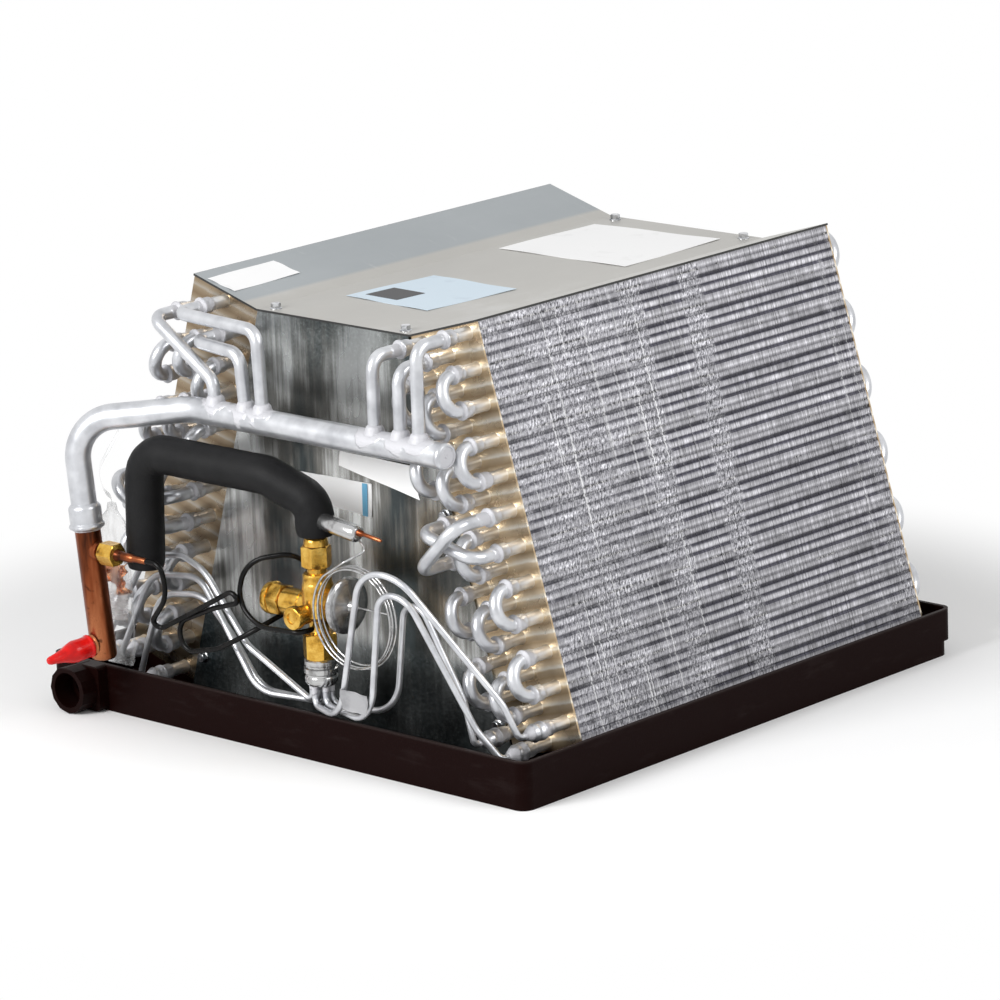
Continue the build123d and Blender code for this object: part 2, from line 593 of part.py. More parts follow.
sleeve_end = nut_start + Vector(47, 0, 0)
with BuildPart() as equaliser_tube:
    pipe(
        [sleeve_end, sleeve_end + Vector(14, 0, 0), at(-88, -257, 106), at(-121, -254, 68),
         at(-77, -247, 92), at(-34, -245, 116), at(-28, -244, 108), at(-56, -243, 99),
         at(-95, -242, 82), at(-90, -241, 60), at(-56, -240, 68), at(-22, -238, 86),
         at(-14, -206, 97), at(4, -206, 112), at(8, -207, 134), at(2, -220, 144),
         at(-26, -238, 138), at(-34, -240, 108), at(-14, -241, 92), at(VALVE_X, -241, 94),
         at(VALVE_X, VALVE_Y, 95)],
        1.5, 3.4, WIRE_SIDES,
    )
    rod(on_valve(99), on_valve(90), 7.5, Mode.SUBTRACT)
equaliser_tube.part.label = "equaliser_tube"
export_step(equaliser_tube.part, "parts/equaliser_tube.step")

# ---- sensing bulb and its capillary, wound in a loose coil round the power head ------------
with BuildPart() as sensing_bulb:
    rod(BULB_START, BULB_END, 6.25)
    tail = (BULB_END - BULB_START).normalized()
    turned(BULB_END + Vector(0, 0, 1.5), tail, [(0, 2.6), (4, 2.2), (5, 1.5), (20, 1.5), (22, 0.8)])
sensing_bulb.part.label = "sensing_bulb"
export_step(sensing_bulb.part, "parts/sensing_bulb.step")

COIL_X, COIL_Z, COIL_R = 79.0, 113.5, 37.5
COIL_TURNS, COIL_STEPS, COIL_GAP = 4, 8, 1.9
COIL_FRONT = -239.5


def coil_point(step):
    """Corners of a round coil, from its upper left down and round, winding back to the slab."""
    angle = math.radians(135) + 2 * math.pi * step / COIL_STEPS
    reach = COIL_R / math.cos(math.pi / COIL_STEPS)
    y = COIL_FRONT + COIL_GAP * step / COIL_STEPS
    return at(COIL_X + reach * math.cos(angle), y, COIL_Z + reach * math.sin(angle))


with BuildPart() as bulb_capillary:
    lead_in = [BULB_END + Vector(0, 0, -4), at(86, -229, 161), at(74, -241, 153)]
    turns = [coil_point(step) for step in range(COIL_TURNS * COIL_STEPS - 3)]
    lead_out = [at(109, -230, 108), at(98, VALVE_Y, 115), at(VALVE_X + 40.05, VALVE_Y, 115)]
    pipe(lead_in + turns + lead_out, 0.8, 3, WIRE_SIDES)
bulb_capillary.part.label = "bulb_capillary"
export_step(bulb_capillary.part, "parts/bulb_capillary.step")

# ---- bag of loose fittings, tied to the header behind the stub ------------------------------
BAG_X, BAG_Y = -163.5, -236.0
BAG_SECTIONS = [(160, 7, 5), (147, 27, 7), (95, 32, 13), (50, 33, 10), (38, 28, 3)]

with BuildPart() as parts_bag:
    slices = []
    for height, width, thickness in BAG_SECTIONS:
        with BuildSketch(Plane.XY.offset(height)) as slice_sketch:
            with Locations((BAG_X, BAG_Y + MIDDLE_Y)):
                Rectangle(width, thickness)
        slices.append(slice_sketch.sketch.face())
    loft(slices, ruled=True)
parts_bag.part.label = "parts_bag"
export_step(parts_bag.part, "parts/parts_bag.step")

with BuildPart() as bag_tie:
    pipe(
        [at(-143, -244.6, 217.8), at(-167, -245, 186), at(BAG_X, -243, 170),
         at(BAG_X, BAG_Y, 164), at(BAG_X, BAG_Y, BAG_SECTIONS[0][0])],
        0.9, 1.5, WIRE_SIDES,
    )
bag_tie.part.label = "bag_tie"
export_step(bag_tie.part, "parts/bag_tie.step")
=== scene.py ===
import math

import bmesh
import bpy
from mathutils import Matrix, Vector


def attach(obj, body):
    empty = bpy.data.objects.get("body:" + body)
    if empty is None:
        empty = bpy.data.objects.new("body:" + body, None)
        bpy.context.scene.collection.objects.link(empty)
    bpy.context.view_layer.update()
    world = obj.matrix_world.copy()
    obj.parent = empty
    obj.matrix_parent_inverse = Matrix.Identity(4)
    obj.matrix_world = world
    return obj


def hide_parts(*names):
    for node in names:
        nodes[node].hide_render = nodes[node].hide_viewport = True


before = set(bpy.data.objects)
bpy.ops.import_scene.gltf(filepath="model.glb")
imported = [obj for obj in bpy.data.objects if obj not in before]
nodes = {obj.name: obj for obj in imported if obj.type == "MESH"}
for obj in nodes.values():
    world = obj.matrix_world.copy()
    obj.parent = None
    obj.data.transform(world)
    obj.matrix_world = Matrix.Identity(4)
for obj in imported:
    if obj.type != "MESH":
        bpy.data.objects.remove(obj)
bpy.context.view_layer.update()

# ---- drain pan ------------------------------------------------------------------------------
# The moulded tray that everything stands in, near-black brown plastic with a fine grain.
# The top of its rim is painted paler as a painted highlight, and handling has left faint dusty streaks down
# the outer walls.
PAN_BROWN = (0.0062, 0.0016, 0.0013)
# the pale of the dusty streaks, and also of the painted highlight along the rim
PAN_DUST_AND_RIM_HIGHLIGHT = (0.022, 0.015, 0.014)
PAN_RIM_Z = 0.0352


def plug(socket, value):
    """Link another node's output to a socket, or set it to a number, a vector or a colour."""
    if isinstance(value, bpy.types.NodeSocket):
        socket.id_data.links.new(value, socket)
    else:
        socket.default_value = (*value, 1) if socket.type == "RGBA" else value


class NodeTree:
    """A node tree to which nodes are added with their inputs and their mode."""

    def __init__(self, tree):
        self.tree, self.nodes = tree, tree.nodes

    def add(self, kind, mode=None, **inputs):
        """A node; an input is named, with _ for a space, or numbered as in0, in1 and so on."""
        node = self.nodes.new(kind)
        if mode:
            setattr(node, "operation" if hasattr(node, "operation") else "data_type", mode)
        for key, value in inputs.items():
            plug(node.inputs[int(key[2:]) if key[2:].isdigit() else key.replace("_", " ")], value)
        return node


class Finish(NodeTree):
    """A material that is put together from noise, ramps, blends and bumps on one shader."""

    def __init__(self, name, owner=None):
        self.material = owner or bpy.data.materials.new(name)
        self.material.use_nodes = True
        super().__init__(self.material.node_tree)

    def place(self, stretch=(1, 1, 1)):
        """Object coordinates, stretched along an axis where a grain runs that way."""
        coordinates = self.add("ShaderNodeTexCoord").outputs["Object"]
        return self.add("ShaderNodeMapping", Vector=coordinates, Scale=stretch).outputs[0]

    def axis(self, place, name):
        return self.add("ShaderNodeSeparateXYZ", Vector=place).outputs[name]

    def noise(self, place, scale=1.0, detail=3.0, rough=0.5):
        inputs = {"Vector": place, "Scale": scale, "Detail": detail, "Roughness": rough}
        return self.add("ShaderNodeTexNoise", **inputs).outputs["Fac"]

    def maths(self, mode, *values):
        inputs = {f"in{i}": value for i, value in enumerate(values)}
        return self.add("ShaderNodeMath", mode, **inputs).outputs[0]

    def scaled(self, colour, factor):
        return self.add("ShaderNodeVectorMath", "SCALE", in0=colour, Scale=factor).outputs[0]

    def spread(self, value, low=0.0, high=1.0, start=0.0, end=1.0):
        """Run from low to high while a value runs from start to end."""
        inputs = {"Value": value, "From_Min": start, "From_Max": end, "To_Min": low, "To_Max": high}
        return self.add("ShaderNodeMapRange", **inputs).outputs[0]

    def ramp(self, factor, *stops):
        """A colour ramp; each stop is a place from 0 to 1 and a colour or a grey."""
        node = self.add("ShaderNodeValToRGB", Fac=factor)
        elements = node.color_ramp.elements
        while len(elements) < len(stops):
            elements.new(0.5)
        for element, (place, colour) in zip(elements, stops):
            element.position = place
            shade = (colour,) * 3 if isinstance(colour, (int, float)) else colour
            element.color = (*shade, 1)
        return node.outputs["Color"]

    def blend(self, factor, first, second):
        return self.add("ShaderNodeMix", "RGBA", in0=factor, in6=first, in7=second).outputs[2]

    def shade(self, colour=None, metal=None, rough=None, specular=None, alpha=None):
        """What the shader takes: each is a number, a colour or another node's output."""
        names = ("Base Color", "Metallic", "Roughness", "Specular IOR Level", "Alpha")
        for name, value in zip(names, (colour, metal, rough, specular, alpha)):
            if value is not None:
                plug(self.nodes["Principled BSDF"].inputs[name], value)

    def bump(self, height, distance, strength=1.0):
        bump = self.add("ShaderNodeBump", Height=height, Distance=distance, Strength=strength)
        plug(self.nodes["Principled BSDF"].inputs["Normal"], bump.outputs["Normal"])


def dress(node, finish):
    """Give a CAD node its finish."""
    for slot in nodes[node].material_slots:
        slot.material = finish.material


pan = Finish("pan_plastic")
place = pan.place()
dust = pan.noise(pan.place((14, 14, 60)), 1.6, 6.0, 0.65)
worn = pan.ramp(dust, (0.55, 0.0), (0.80, 0.5))
# painted highlight: the top 1.6 mm of the rim is painted paler
rim = pan.spread(pan.axis(place, "Z"), start=PAN_RIM_Z - 0.0016, end=PAN_RIM_Z)
tone = pan.blend(pan.maths("MAXIMUM", worn, rim), PAN_BROWN, PAN_DUST_AND_RIM_HIGHLIGHT)
pan.shade(tone, rough=pan.spread(dust, 0.34, 0.52), specular=0.035)
pan.bump(pan.noise(place, 900.0), 0.0002, 0.5)
dress("drain_pan", pan)

# ---- fin packs ------------------------------------------------------------------------------
# Thin aluminium fins stand side by side along each slab. Their edges are corrugated, and the light and
# shade of the ribs this draws along the face is painted in; handling has crushed some of them into paler
# bands.
LEAN = math.radians(16.34)
SLAB_TOP = Vector((0.13865, 0, 0.3192))
SLAB_DEPTH, SLAB_LENGTH = 0.066, 0.3048
FIN_FRONT, FIN_BACK = -0.1309, 0.2532
FIN_SPACING, FIN_THICKNESS = 0.00192, 0.00184
RIB_PERIOD = 0.0254
# the painted light and shade of the ribs and grooves down one period, as greys, and the fin's edge there:
# (down, depth) in mm
RIB_LIGHT_AND_SHADE_GREYS = (150, 168, 192, 158, 120, 166, 176, 130, 62, 86, 162, 178, 176, 88, 94, 176, 194, 178, 84, 86)
MIDDLE_GREY, CONTRAST = 154, 1.16
RIB_EDGE = ((1.2, 0), (4.2, 0.05), (5.1, 0.5), (6.2, 0.05), (9.6, 0.05), (10.3, 1.0), (11.6, 1.0), (12.3, 0),
            (16.2, 0), (17.2, 0.8), (18.2, 0), (22.4, 0), (23.5, 0.8), (24.8, 0.1))
INNER_EDGE = ((5.1, 0.6), (10.9, 0), (17.2, 0.6), (23.5, 0))
# how far the fins are crushed from the front to the back, as (place, amount)
CRUSHED = ((0.0, 0.75), (0.05, 0.45), (0.10, 0.60), (0.20, 0.85), (0.27, 0.50), (0.36, 0.42), (0.375, 1.0),
           (0.42, 0.95), (0.435, 0.20), (0.535, 0.15), (0.55, 0.95), (0.59, 0.85), (0.61, 0.05), (0.93, 0.0),
           (0.945, 0.45), (0.965, 0.15), (1.0, 0.55))
LAVENDER, SHADOW, PROUD_EDGE = (0.50, 0.495, 0.525), (0.030, 0.031, 0.036), (0.86, 0.86, 0.87)


def in_slab(side, depth, down):
    """X and Z of a place in a slab, depth in from its outer face and down from its top."""
    x = SLAB_TOP.x - depth * math.cos(LEAN) + down * math.sin(LEAN)
    z = SLAB_TOP.z - depth * math.sin(LEAN) - down * math.cos(LEAN)
    return side * x, z


def new_piece(name, mesh):
    piece = bpy.data.objects.new(name, mesh)
    bpy.context.scene.collection.objects.link(piece)
    return piece


def mesh_piece(name, verts, faces, finish=None, sharp=None):
    """A mesh object; faces meet smoothly below the sharp angle, or are all flat without one."""
    mesh = bpy.data.meshes.new(name)
    mesh.from_pydata([tuple(v) for v in verts], [], faces)
    if finish:
        mesh.materials.append(finish.material)
    work = bmesh.new()
    work.from_mesh(mesh)
    bmesh.ops.recalc_face_normals(work, faces=work.faces)
    work.to_mesh(mesh)
    work.free()
    if sharp is not None:
        mesh.shade_smooth()
        mesh.set_sharp_from_angle(angle=math.radians(sharp))
    return new_piece(name, mesh)


def slab_along(finish, place, side):
    """How far down a slab's face a point lies, in metres."""
    slope = Vector((side * math.sin(LEAN), 0, -math.cos(LEAN)))
    along = finish.add("ShaderNodeVectorMath", "DOT_PRODUCT", in0=place, in1=slope)
    top = Vector((side * SLAB_TOP.x, 0, SLAB_TOP.z))
    return finish.maths("SUBTRACT", along.outputs["Value"], top.dot(slope))


def grey(level, tint=4):
    """A slightly blue grey from a level out of 255, as linear light."""
    return tuple(((level + shift) / 255) ** 2.2 for shift in (0, -1, tint))


def steps_of(finish, value, scale, shift=0.0, whole="FLOOR"):
    """A value scaled and shifted, then cut to its whole or its fractional part."""
    return finish.maths(whole, finish.maths("MULTIPLY_ADD", value, scale, shift))


def fin_noise(finish, y, rib, down, scales, detail=2.0, rough=0.6):
    """Noise along the slab, from one rib to the next and down the slope."""
    cell = finish.add("ShaderNodeCombineXYZ", X=y, Y=rib, Z=down).outputs[0]
    mapped = finish.add("ShaderNodeMapping", Vector=cell, Scale=scales).outputs[0]
    return finish.noise(mapped, 1.0, detail, rough)


def fin_finish(name, side):
    fin = Finish(name)
    place = fin.place()
    down = slab_along(fin, place, side)
    y = fin.axis(place, "Y")
    rib = steps_of(fin, down, 4 / RIB_PERIOD)
    phase = steps_of(fin, down, 1 / RIB_PERIOD, 2.0, "FRACT")
    levels = []
    for k, level in enumerate(RIB_LIGHT_AND_SHADE_GREYS):
        tone = grey(150 + (level - MIDDLE_GREY) * CONTRAST, 9 if level < 110 else 4)
        levels.append(((k + 0.5) / len(RIB_LIGHT_AND_SHADE_GREYS), tone))
    # painted light and shade of the ribs and grooves, from one period's greys
    painted_rib_shade = fin.ramp(phase, *levels)
    # every fin's own edge, and short runs of fins that stand alike along one rib
    edge = fin_noise(fin, y, 0.0, down, (560, 1, 60), 2.0, 0.7)
    runs = fin_noise(fin, y, rib, down, (27, 5.3, 0))
    bright = fin.ramp(edge, (0.33, 0.62), (0.50, 0.98), (0.66, 1.5))
    # the fins are painted darker towards the foot of the slab
    falling = fin.spread(down, 1.12, 0.88, end=SLAB_LENGTH)
    level = fin.maths("MULTIPLY", fin.spread(runs, 0.66, 1.22, 0.3, 0.7), falling)
    shaded = fin.scaled(painted_rib_shade, fin.maths("MULTIPLY", bright, level))
    # crushed stretches lean forward a little down the slope, and start anew at each rib
    wander = fin_noise(fin, 0.0, rib, down, (1, 3.7, 9))
    jitter = fin.maths("MULTIPLY_ADD", wander, 0.016, fin.maths("MULTIPLY_ADD", down, 0.07, y))
    crushed = fin.ramp(fin.spread(jitter, start=FIN_FRONT + 0.010, end=FIN_BACK + 0.014), *CRUSHED)
    patchy = fin.maths("MULTIPLY", crushed, fin.spread(runs, 0.45, 1.1, 0.30, 0.62))
    slant = fin.maths("MULTIPLY_ADD", down, 0.35, y)
    speck = fin_noise(fin, slant, 0.0, down, (600, 1, 300), 3.0, 0.75)
    # painted shadow in the crumples and painted highlights on their folds, around the lavender of the metal
    crumple_shade_and_highlight = fin.ramp(speck, (0.37, SHADOW), (0.44, (0.22, 0.22, 0.235)), (0.52, LAVENDER),
                        (0.62, (0.92, 0.92, 0.93)))
    # the painted rib shade, fainter, carried into the crushed stretches
    faint_rib_shade = fin.blend(0.38, (0.86, 0.86, 0.86), fin.scaled(painted_rib_shade, 2.4))
    ribbed = fin.add("ShaderNodeVectorMath", "MULTIPLY", in0=crumple_shade_and_highlight, in1=faint_rib_shade).outputs[0]
    colour = fin.blend(fin.spread(patchy, 0.0, 0.88, 0.24, 0.60), shaded, fin.scaled(ribbed, level))
    # a few fins stand proud of the rest and catch the light from top to bottom
    proud = fin_noise(fin, y, 0.0, down, (330, 1, 5), 1.0, 0.5)
    caught = fin.maths("MULTIPLY", fin.ramp(proud, (0.64, 0.0), (0.70, 0.85)), crushed)
    colour = fin.blend(caught, colour, PROUD_EDGE)
    # a torn line along the foot of each period, here bright and there dark
    torn = fin_noise(fin, y, rib, down, (45, 9.1, 0), 3.0, 0.7)
    kinked = fin.maths("MULTIPLY_ADD", torn, 0.10, phase)
    at_foot = fin.ramp(kinked, (0.240, 0.0), (0.258, 1.0), (0.288, 1.0), (0.310, 0.0))
    ragged = fin.ramp(fin.maths("MULTIPLY_ADD", crushed, 0.22, torn), (0.56, 0.0), (0.64, 0.9))
    torn_tone = fin.ramp(speck, (0.46, (0.02, 0.02, 0.024)), (0.60, (0.66, 0.65, 0.65)))
    fin.shade(fin.blend(fin.maths("MULTIPLY", at_foot, ragged), colour, torn_tone), 0.25, 0.5)
    fin.bump(speck, 0.0006, 0.4)
    return fin


def fin_blade(side):
    """One fin: its outer edge follows the ribs closely, its inner edge more plainly."""
    outer, inner = [in_slab(side, 0.0004, 0.0)], [in_slab(side, SLAB_DEPTH, 0.0)]
    for i in range(round(SLAB_LENGTH / RIB_PERIOD)):
        start = i * RIB_PERIOD
        for shift, depth in RIB_EDGE:
            outer.append(in_slab(side, depth / 1000, start + shift / 1000))
        for shift, depth in INNER_EDGE:
            inner.append(in_slab(side, SLAB_DEPTH - depth / 1000, start + shift / 1000))
    outer.append(in_slab(side, 0.0004, SLAB_LENGTH))
    inner.append(in_slab(side, SLAB_DEPTH, SLAB_LENGTH))
    loop = outer + inner[::-1]
    count = len(loop)
    verts = [(x, y, z) for y in (0, FIN_THICKNESS) for x, z in loop]
    faces = [list(range(count)), list(range(count, 2 * count))[::-1]]
    faces += [[i, (i + 1) % count, (i + 1) % count + count, i + count] for i in range(count)]
    return mesh_piece("fin_blade", verts, faces)


def copies_tree(name, inputs, finish):
    """A tree that stands copies of a piece on points. It still lacks its points and their turns."""
    group = bpy.data.node_groups.new(name, "GeometryNodeTree")
    keys = {}
    for label, kind, value in (("Geometry", "Geometry", None), ("Piece", "Object", None), *inputs):
        socket = group.interface.new_socket(label, in_out="INPUT", socket_type="NodeSocket" + kind)
        if value is not None:
            socket.default_value = value
        keys[label] = socket.identifier
    group.interface.new_socket("Geometry", in_out="OUTPUT", socket_type="NodeSocketGeometry")
    tree = NodeTree(group)
    given = tree.add("NodeGroupInput").outputs
    info = tree.add("GeometryNodeObjectInfo", Object=given["Piece"])
    copies = tree.add("GeometryNodeInstanceOnPoints", Instance=info.outputs["Geometry"])
    real = tree.add("GeometryNodeRealizeInstances", in0=copies.outputs[0])
    coat = tree.add("GeometryNodeSetMaterial", Geometry=real.outputs[0], Material=finish.material)
    tree.add("NodeGroupOutput", in0=coat.outputs[0])
    return tree, keys, given, copies.inputs


def fin_stack_tree(finish):
    """Stand copies of one fin along Y, each turned and shifted a little."""
    inputs = (("Count", "Int", 2), ("Spacing", "Float", FIN_SPACING), ("Start", "Float", FIN_FRONT),
              ("Bend", "Float", 0.0012), ("Shift", "Float", 0.00012))
    tree, keys, given, copies = copies_tree("fin_stack", inputs, finish)
    step = tree.add("ShaderNodeCombineXYZ", Y=given["Spacing"]).outputs[0]
    start = tree.add("ShaderNodeCombineXYZ", Y=given["Start"]).outputs[0]
    line = tree.add("GeometryNodeMeshLine", Count=given["Count"], Start_Location=start, Offset=step)
    most = tree.add("ShaderNodeCombineXYZ", Y=given["Shift"]).outputs[0]
    least = tree.add("ShaderNodeVectorMath", "SCALE", in0=most, Scale=-1.0).outputs[0]
    nudge = tree.add("FunctionNodeRandomValue", "FLOAT_VECTOR", in0=least, in1=most, Seed=7).outputs[0]
    moved = tree.add("GeometryNodeSetPosition", Geometry=line.outputs["Mesh"], Offset=nudge)
    back = tree.add("ShaderNodeMath", "MULTIPLY", in0=given["Bend"], in1=-1.0).outputs[0]
    turn = tree.add("FunctionNodeRandomValue", "FLOAT", in2=back, in3=given["Bend"], Seed=11).outputs[1]
    plug(copies["Points"], moved.outputs[0])
    plug(copies["Rotation"], tree.add("ShaderNodeCombineXYZ", Z=turn).outputs[0])
    return tree.tree, keys


def evaluated_mesh(piece):
    """A piece's mesh as its modifiers make it."""
    bpy.context.view_layer.update()
    return bpy.data.meshes.new_from_object(piece.evaluated_get(bpy.context.evaluated_depsgraph_get()))


def grown(name, tree, settings, points=None):
    """Run a node tree on a mesh of points and keep the result as a plain mesh object."""
    holder = new_piece(name + "_holder", points or bpy.data.meshes.new(name + "_holder"))
    modifier = holder.modifiers.new("grow", "NODES")
    modifier.node_group = tree
    for key, value in settings.items():
        modifier[key] = value
    mesh = evaluated_mesh(holder)
    holder.modifiers.remove(modifier)
    bpy.data.objects.remove(holder)
    piece = new_piece(name, mesh)
    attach(piece, "root")
    return piece


for side, hand in ((1, "right"), (-1, "left")):
    blade = fin_blade(side)
    tree, key = fin_stack_tree(fin_finish(f"{hand}_fin_aluminium", side))
    count = int((FIN_BACK - FIN_FRONT) / FIN_SPACING)
    fins = grown(f"{hand}_fins", tree, {key["Piece"]: blade, key["Count"]: count})
    bpy.data.objects.remove(blade)
    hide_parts(f"{hand}_fin_pack")

# ---- tube sheets ----------------------------------------------------------------------------
# Punched end plates of bright plated sheet with a gold tint. They are nearly a mirror; the tubes in front of
# them are painted on as cream bands of painted reflection, with painted brown shade between them.
SHEET_SHADE_BROWN, SHEET_GOLD, SHEET_TUBE_REFLECTION = (0.43, 0.31, 0.185), (0.68, 0.55, 0.38), (0.96, 0.90, 0.79)
LEFT_SHEET_SHADE = (0.14, 0.105, 0.075)


def sheet_finish(name, side):
    """Gold plate with a painted cream reflection behind each line of tubes and painted brown shade between
    them.
    """
    sheet = Finish(name)
    place = sheet.place()
    stain = sheet.noise(place, 38.0, 4.0, 0.6)
    down = sheet.maths("ADD", slab_along(sheet, place, side), sheet.maths("MULTIPLY", stain, 0.0045))
    phase = steps_of(sheet, down, 2 / RIB_PERIOD, 1.85, "FRACT")
    # painted reflection of each line of tubes in cream, and painted shade in brown between them
    tone = sheet.ramp(phase, (0.0, SHEET_SHADE_BROWN), (0.28, SHEET_GOLD), (0.50, SHEET_TUBE_REFLECTION), (0.62, SHEET_GOLD),
                      (1.0, SHEET_SHADE_BROWN))
    # painted shade: the left sheets, which lie in shade, are painted darker and browner
    if side < 0:
        tone = sheet.blend(0.62, tone, LEFT_SHEET_SHADE)
    sheet.shade(tone, 0.95, sheet.spread(stain, 0.20, 0.36))
    sheet.bump(stain, 0.0012, 0.15)
    return sheet


for side, hand in ((1, "right"), (-1, "left")):
    sheet_metal = sheet_finish(f"{hand}_tube_sheet_metal", side)
    for end in ("front", "back"):
        dress(f"{hand}_{end}_tube_sheet", sheet_metal)

# ---- circuit tubes and return bends ----------------------------------------------------------
# Aluminium tubes leave each sheet and end in flared sockets. Cast-smooth U bends are brazed
# into them, and the flux leaves the joints chalky white.
TUBE_R, TUBE_PITCH, ROW_PITCH = 0.0047625, 0.0254, 0.022
SHEET_FRONT, BELL_MOUTH, SLAB_END = -0.13244, -0.15844, 0.25466
ROOT_SHEET_REFLECTION = (0.90, 0.82, 0.68)
TUBE_BRIGHT, TUBE_DULL, FLUX_WHITE = (0.66, 0.67, 0.695), (0.44, 0.45, 0.475), (0.50, 0.50, 0.525)

tube_metal = Finish("tube_aluminium")
place = tube_metal.place()
cloud = tube_metal.noise(place, 70.0)
clean = tube_metal.ramp(cloud, (0.28, TUBE_DULL), (0.70, TUBE_BRIGHT))
mark = tube_metal.add("ShaderNodeAttribute")
mark.attribute_name = "brazed"
flux = tube_metal.ramp(tube_metal.maths("ADD", mark.outputs["Fac"], cloud), (0.84, 0.0), (0.93, 1.0))
whitened = tube_metal.blend(flux, clean, FLUX_WHITE)
# a painted reflection of the gold sheet on the tubes' roots
y = tube_metal.axis(place, "Y")
to_root = tube_metal.spread(y, 0.0, 0.6, SHEET_FRONT - 0.015, SHEET_FRONT - 0.003)
root_reflection = tube_metal.maths("MULTIPLY", to_root, tube_metal.maths("LESS_THAN", y, SHEET_FRONT + 0.01))
tube_metal.shade(tube_metal.blend(root_reflection, whitened, ROOT_SHEET_REFLECTION), tube_metal.spread(flux, 0.78, 0.15),
                 tube_metal.spread(flux, 0.33, 0.58))
lumps = tube_metal.maths("MULTIPLY", flux, cloud)
grainy = tube_metal.spread(flux, 0.12, 0.45)
tube_metal.bump(tube_metal.maths("MULTIPLY_ADD", tube_metal.noise(place, 700.0), grainy, lumps), 0.0009, 0.75)


def tube_xz(side, row, number):
    """X and Z of a tube: its row from the outer face in, its number from the slab's top."""
    staggered = (row == 1) == (side == 1)
    first = TUBE_PITCH * (0.75 if staggered else 0.25)
    return in_slab(side, ROW_PITCH * (row + 0.5), first + TUBE_PITCH * (number - 1))


def ring(centre, across, other, radius, sides, spin=0.0):
    """Points round a centre, in the plane of two directions."""
    angles = [2 * math.pi * j / sides + spin for j in range(sides)]
    return [centre + (across * math.cos(a) + other * math.sin(a)) * radius for a in angles]


def rings_to_mesh(name, rings, finish, sharp=50):
    """Skin a row of rings of points and close both ends."""
    sides = len(rings[0])
    verts = [v for ring in rings for v in ring]
    faces = [list(range(sides)), list(range(len(verts) - sides, len(verts)))[::-1]]
    for i in range(len(rings) - 1):
        for j in range(sides):
            k = (j + 1) % sides
            faces.append([i * sides + j, i * sides + k, (i + 1) * sides + k, (i + 1) * sides + j])
    return mesh_piece(name, verts, faces, finish, sharp)


def turned_piece(name, start, direction, profile, finish, sides=40, sharp=30):
    """Turn a profile of (distance along the axis, radius), in millimetres, about an axis."""
    direction = Vector(direction).normalized()
    across = direction.orthogonal().normalized()
    other = direction.cross(across)
    rings = []
    for far, radius in profile:
        rings.append(ring(Vector(start) + direction * (far / 1000), across, other, radius / 1000, sides))
    return rings_to_mesh(name, rings, finish, sharp)


def filleted(points, bend, step=math.radians(7)):
    """Straight runs joined by true arcs, smaller where a run is short, as points along the line."""
    line = [Vector(points[0])]
    for before, corner, after in zip(points, points[1:], points[2:]):
        before, corner, after = Vector(before), Vector(corner), Vector(after)
        into, out = (corner - before).normalized(), (after - corner).normalized()
        turn = into.angle(out)
        room = 0.49 * min((corner - before).length, (after - corner).length)
        radius = min(bend, room / math.tan(turn / 2))
        centre = corner + (out - into).normalized() * (radius / math.cos(turn / 2))
        spoke = corner - into * (radius * math.tan(turn / 2)) - centre
        count = max(2, round(turn / step))
        for i in range(count + 1):
            angle = turn * i / count
            line.append(centre + spoke * math.cos(angle) + into * (radius * math.sin(angle)))
    return line + [Vector(points[-1])]


def tube_piece(name, line, radius, finish, sides=24):
    """A round tube along a line of points, without twist. radius may be one for each point."""
    radii = radius if isinstance(radius, list) else [radius] * len(line)
    across = (line[1] - line[0]).orthogonal().normalized()
    rings = []
    for i, here in enumerate(line):
        before = (here - line[i - 1]).normalized() if i else (line[1] - line[0]).normalized()
        after = (line[i + 1] - here).normalized() if i < len(line) - 1 else before
        run = (before + after).normalized()
        across = (across - run * across.dot(run)).normalized()
        rings.append(ring(here, across, run.cross(across), radii[i], sides))
    return rings_to_mesh(name, rings, finish)


def mark_brazed(piece, places):
    """Where a joint was brazed: (point, reach) pairs, fading out with distance."""
    attribute = piece.data.attributes.new("brazed", "FLOAT", "POINT")
    for vert, value in zip(piece.data.vertices, attribute.data):
        amounts = [1 - (vert.co - Vector(point)).length / reach for point, reach in places]
        value.value = max([0.0] + amounts)


def placed(name, piece, places, finish):
    """Put a copy of a piece at each (position, angles), as one mesh. The piece is used up."""
    points = bpy.data.meshes.new(name + "_places")
    points.from_pydata([position for position, _ in places], [], [])
    turns = points.attributes.new("turn", "FLOAT_VECTOR", "POINT")
    for value, (_, angles) in zip(turns.data, places):
        value.vector = angles
    tree, keys, given, copies = copies_tree(name, (), finish)
    turn = tree.add("GeometryNodeInputNamedAttribute", "FLOAT_VECTOR", Name="turn")
    plug(copies["Points"], given["Geometry"])
    plug(copies["Rotation"], turn.outputs["Attribute"])
    result = grown(name, tree.tree, {keys["Piece"]: piece}, points)
    bpy.data.objects.remove(piece)
    return result


SOCKET = [(-0.2, 5.3), (0.7, 5.0), (1.8, 4.78), (13.6, 4.78), (14.8, 5.1), (16.0, 5.75), (17.2, 5.95),
          (23.2, 6.0), (23.8, 6.5), (24.2, 6.9), (25.0, 6.95), (25.5, 6.6), (25.8, 5.8), (26.2, 5.3),
          (26.8, 4.8)]
HALF_PITCH = TUBE_PITCH / 2
U_ANGLES = [math.pi * i / 26 for i in range(27)]
U_LINE = [Vector((HALF_PITCH - HALF_PITCH * math.cos(a), -HALF_PITCH * math.sin(a), 0)) for a in U_ANGLES]
FRONT_BENDS = [(row, n) for row in range(3) for n in (2, 4, 6, 8, 10) if n != 6 or row == 1]
BACK_BENDS = [(row, n) for row in range(3) for n in range(1, 12, 2)]

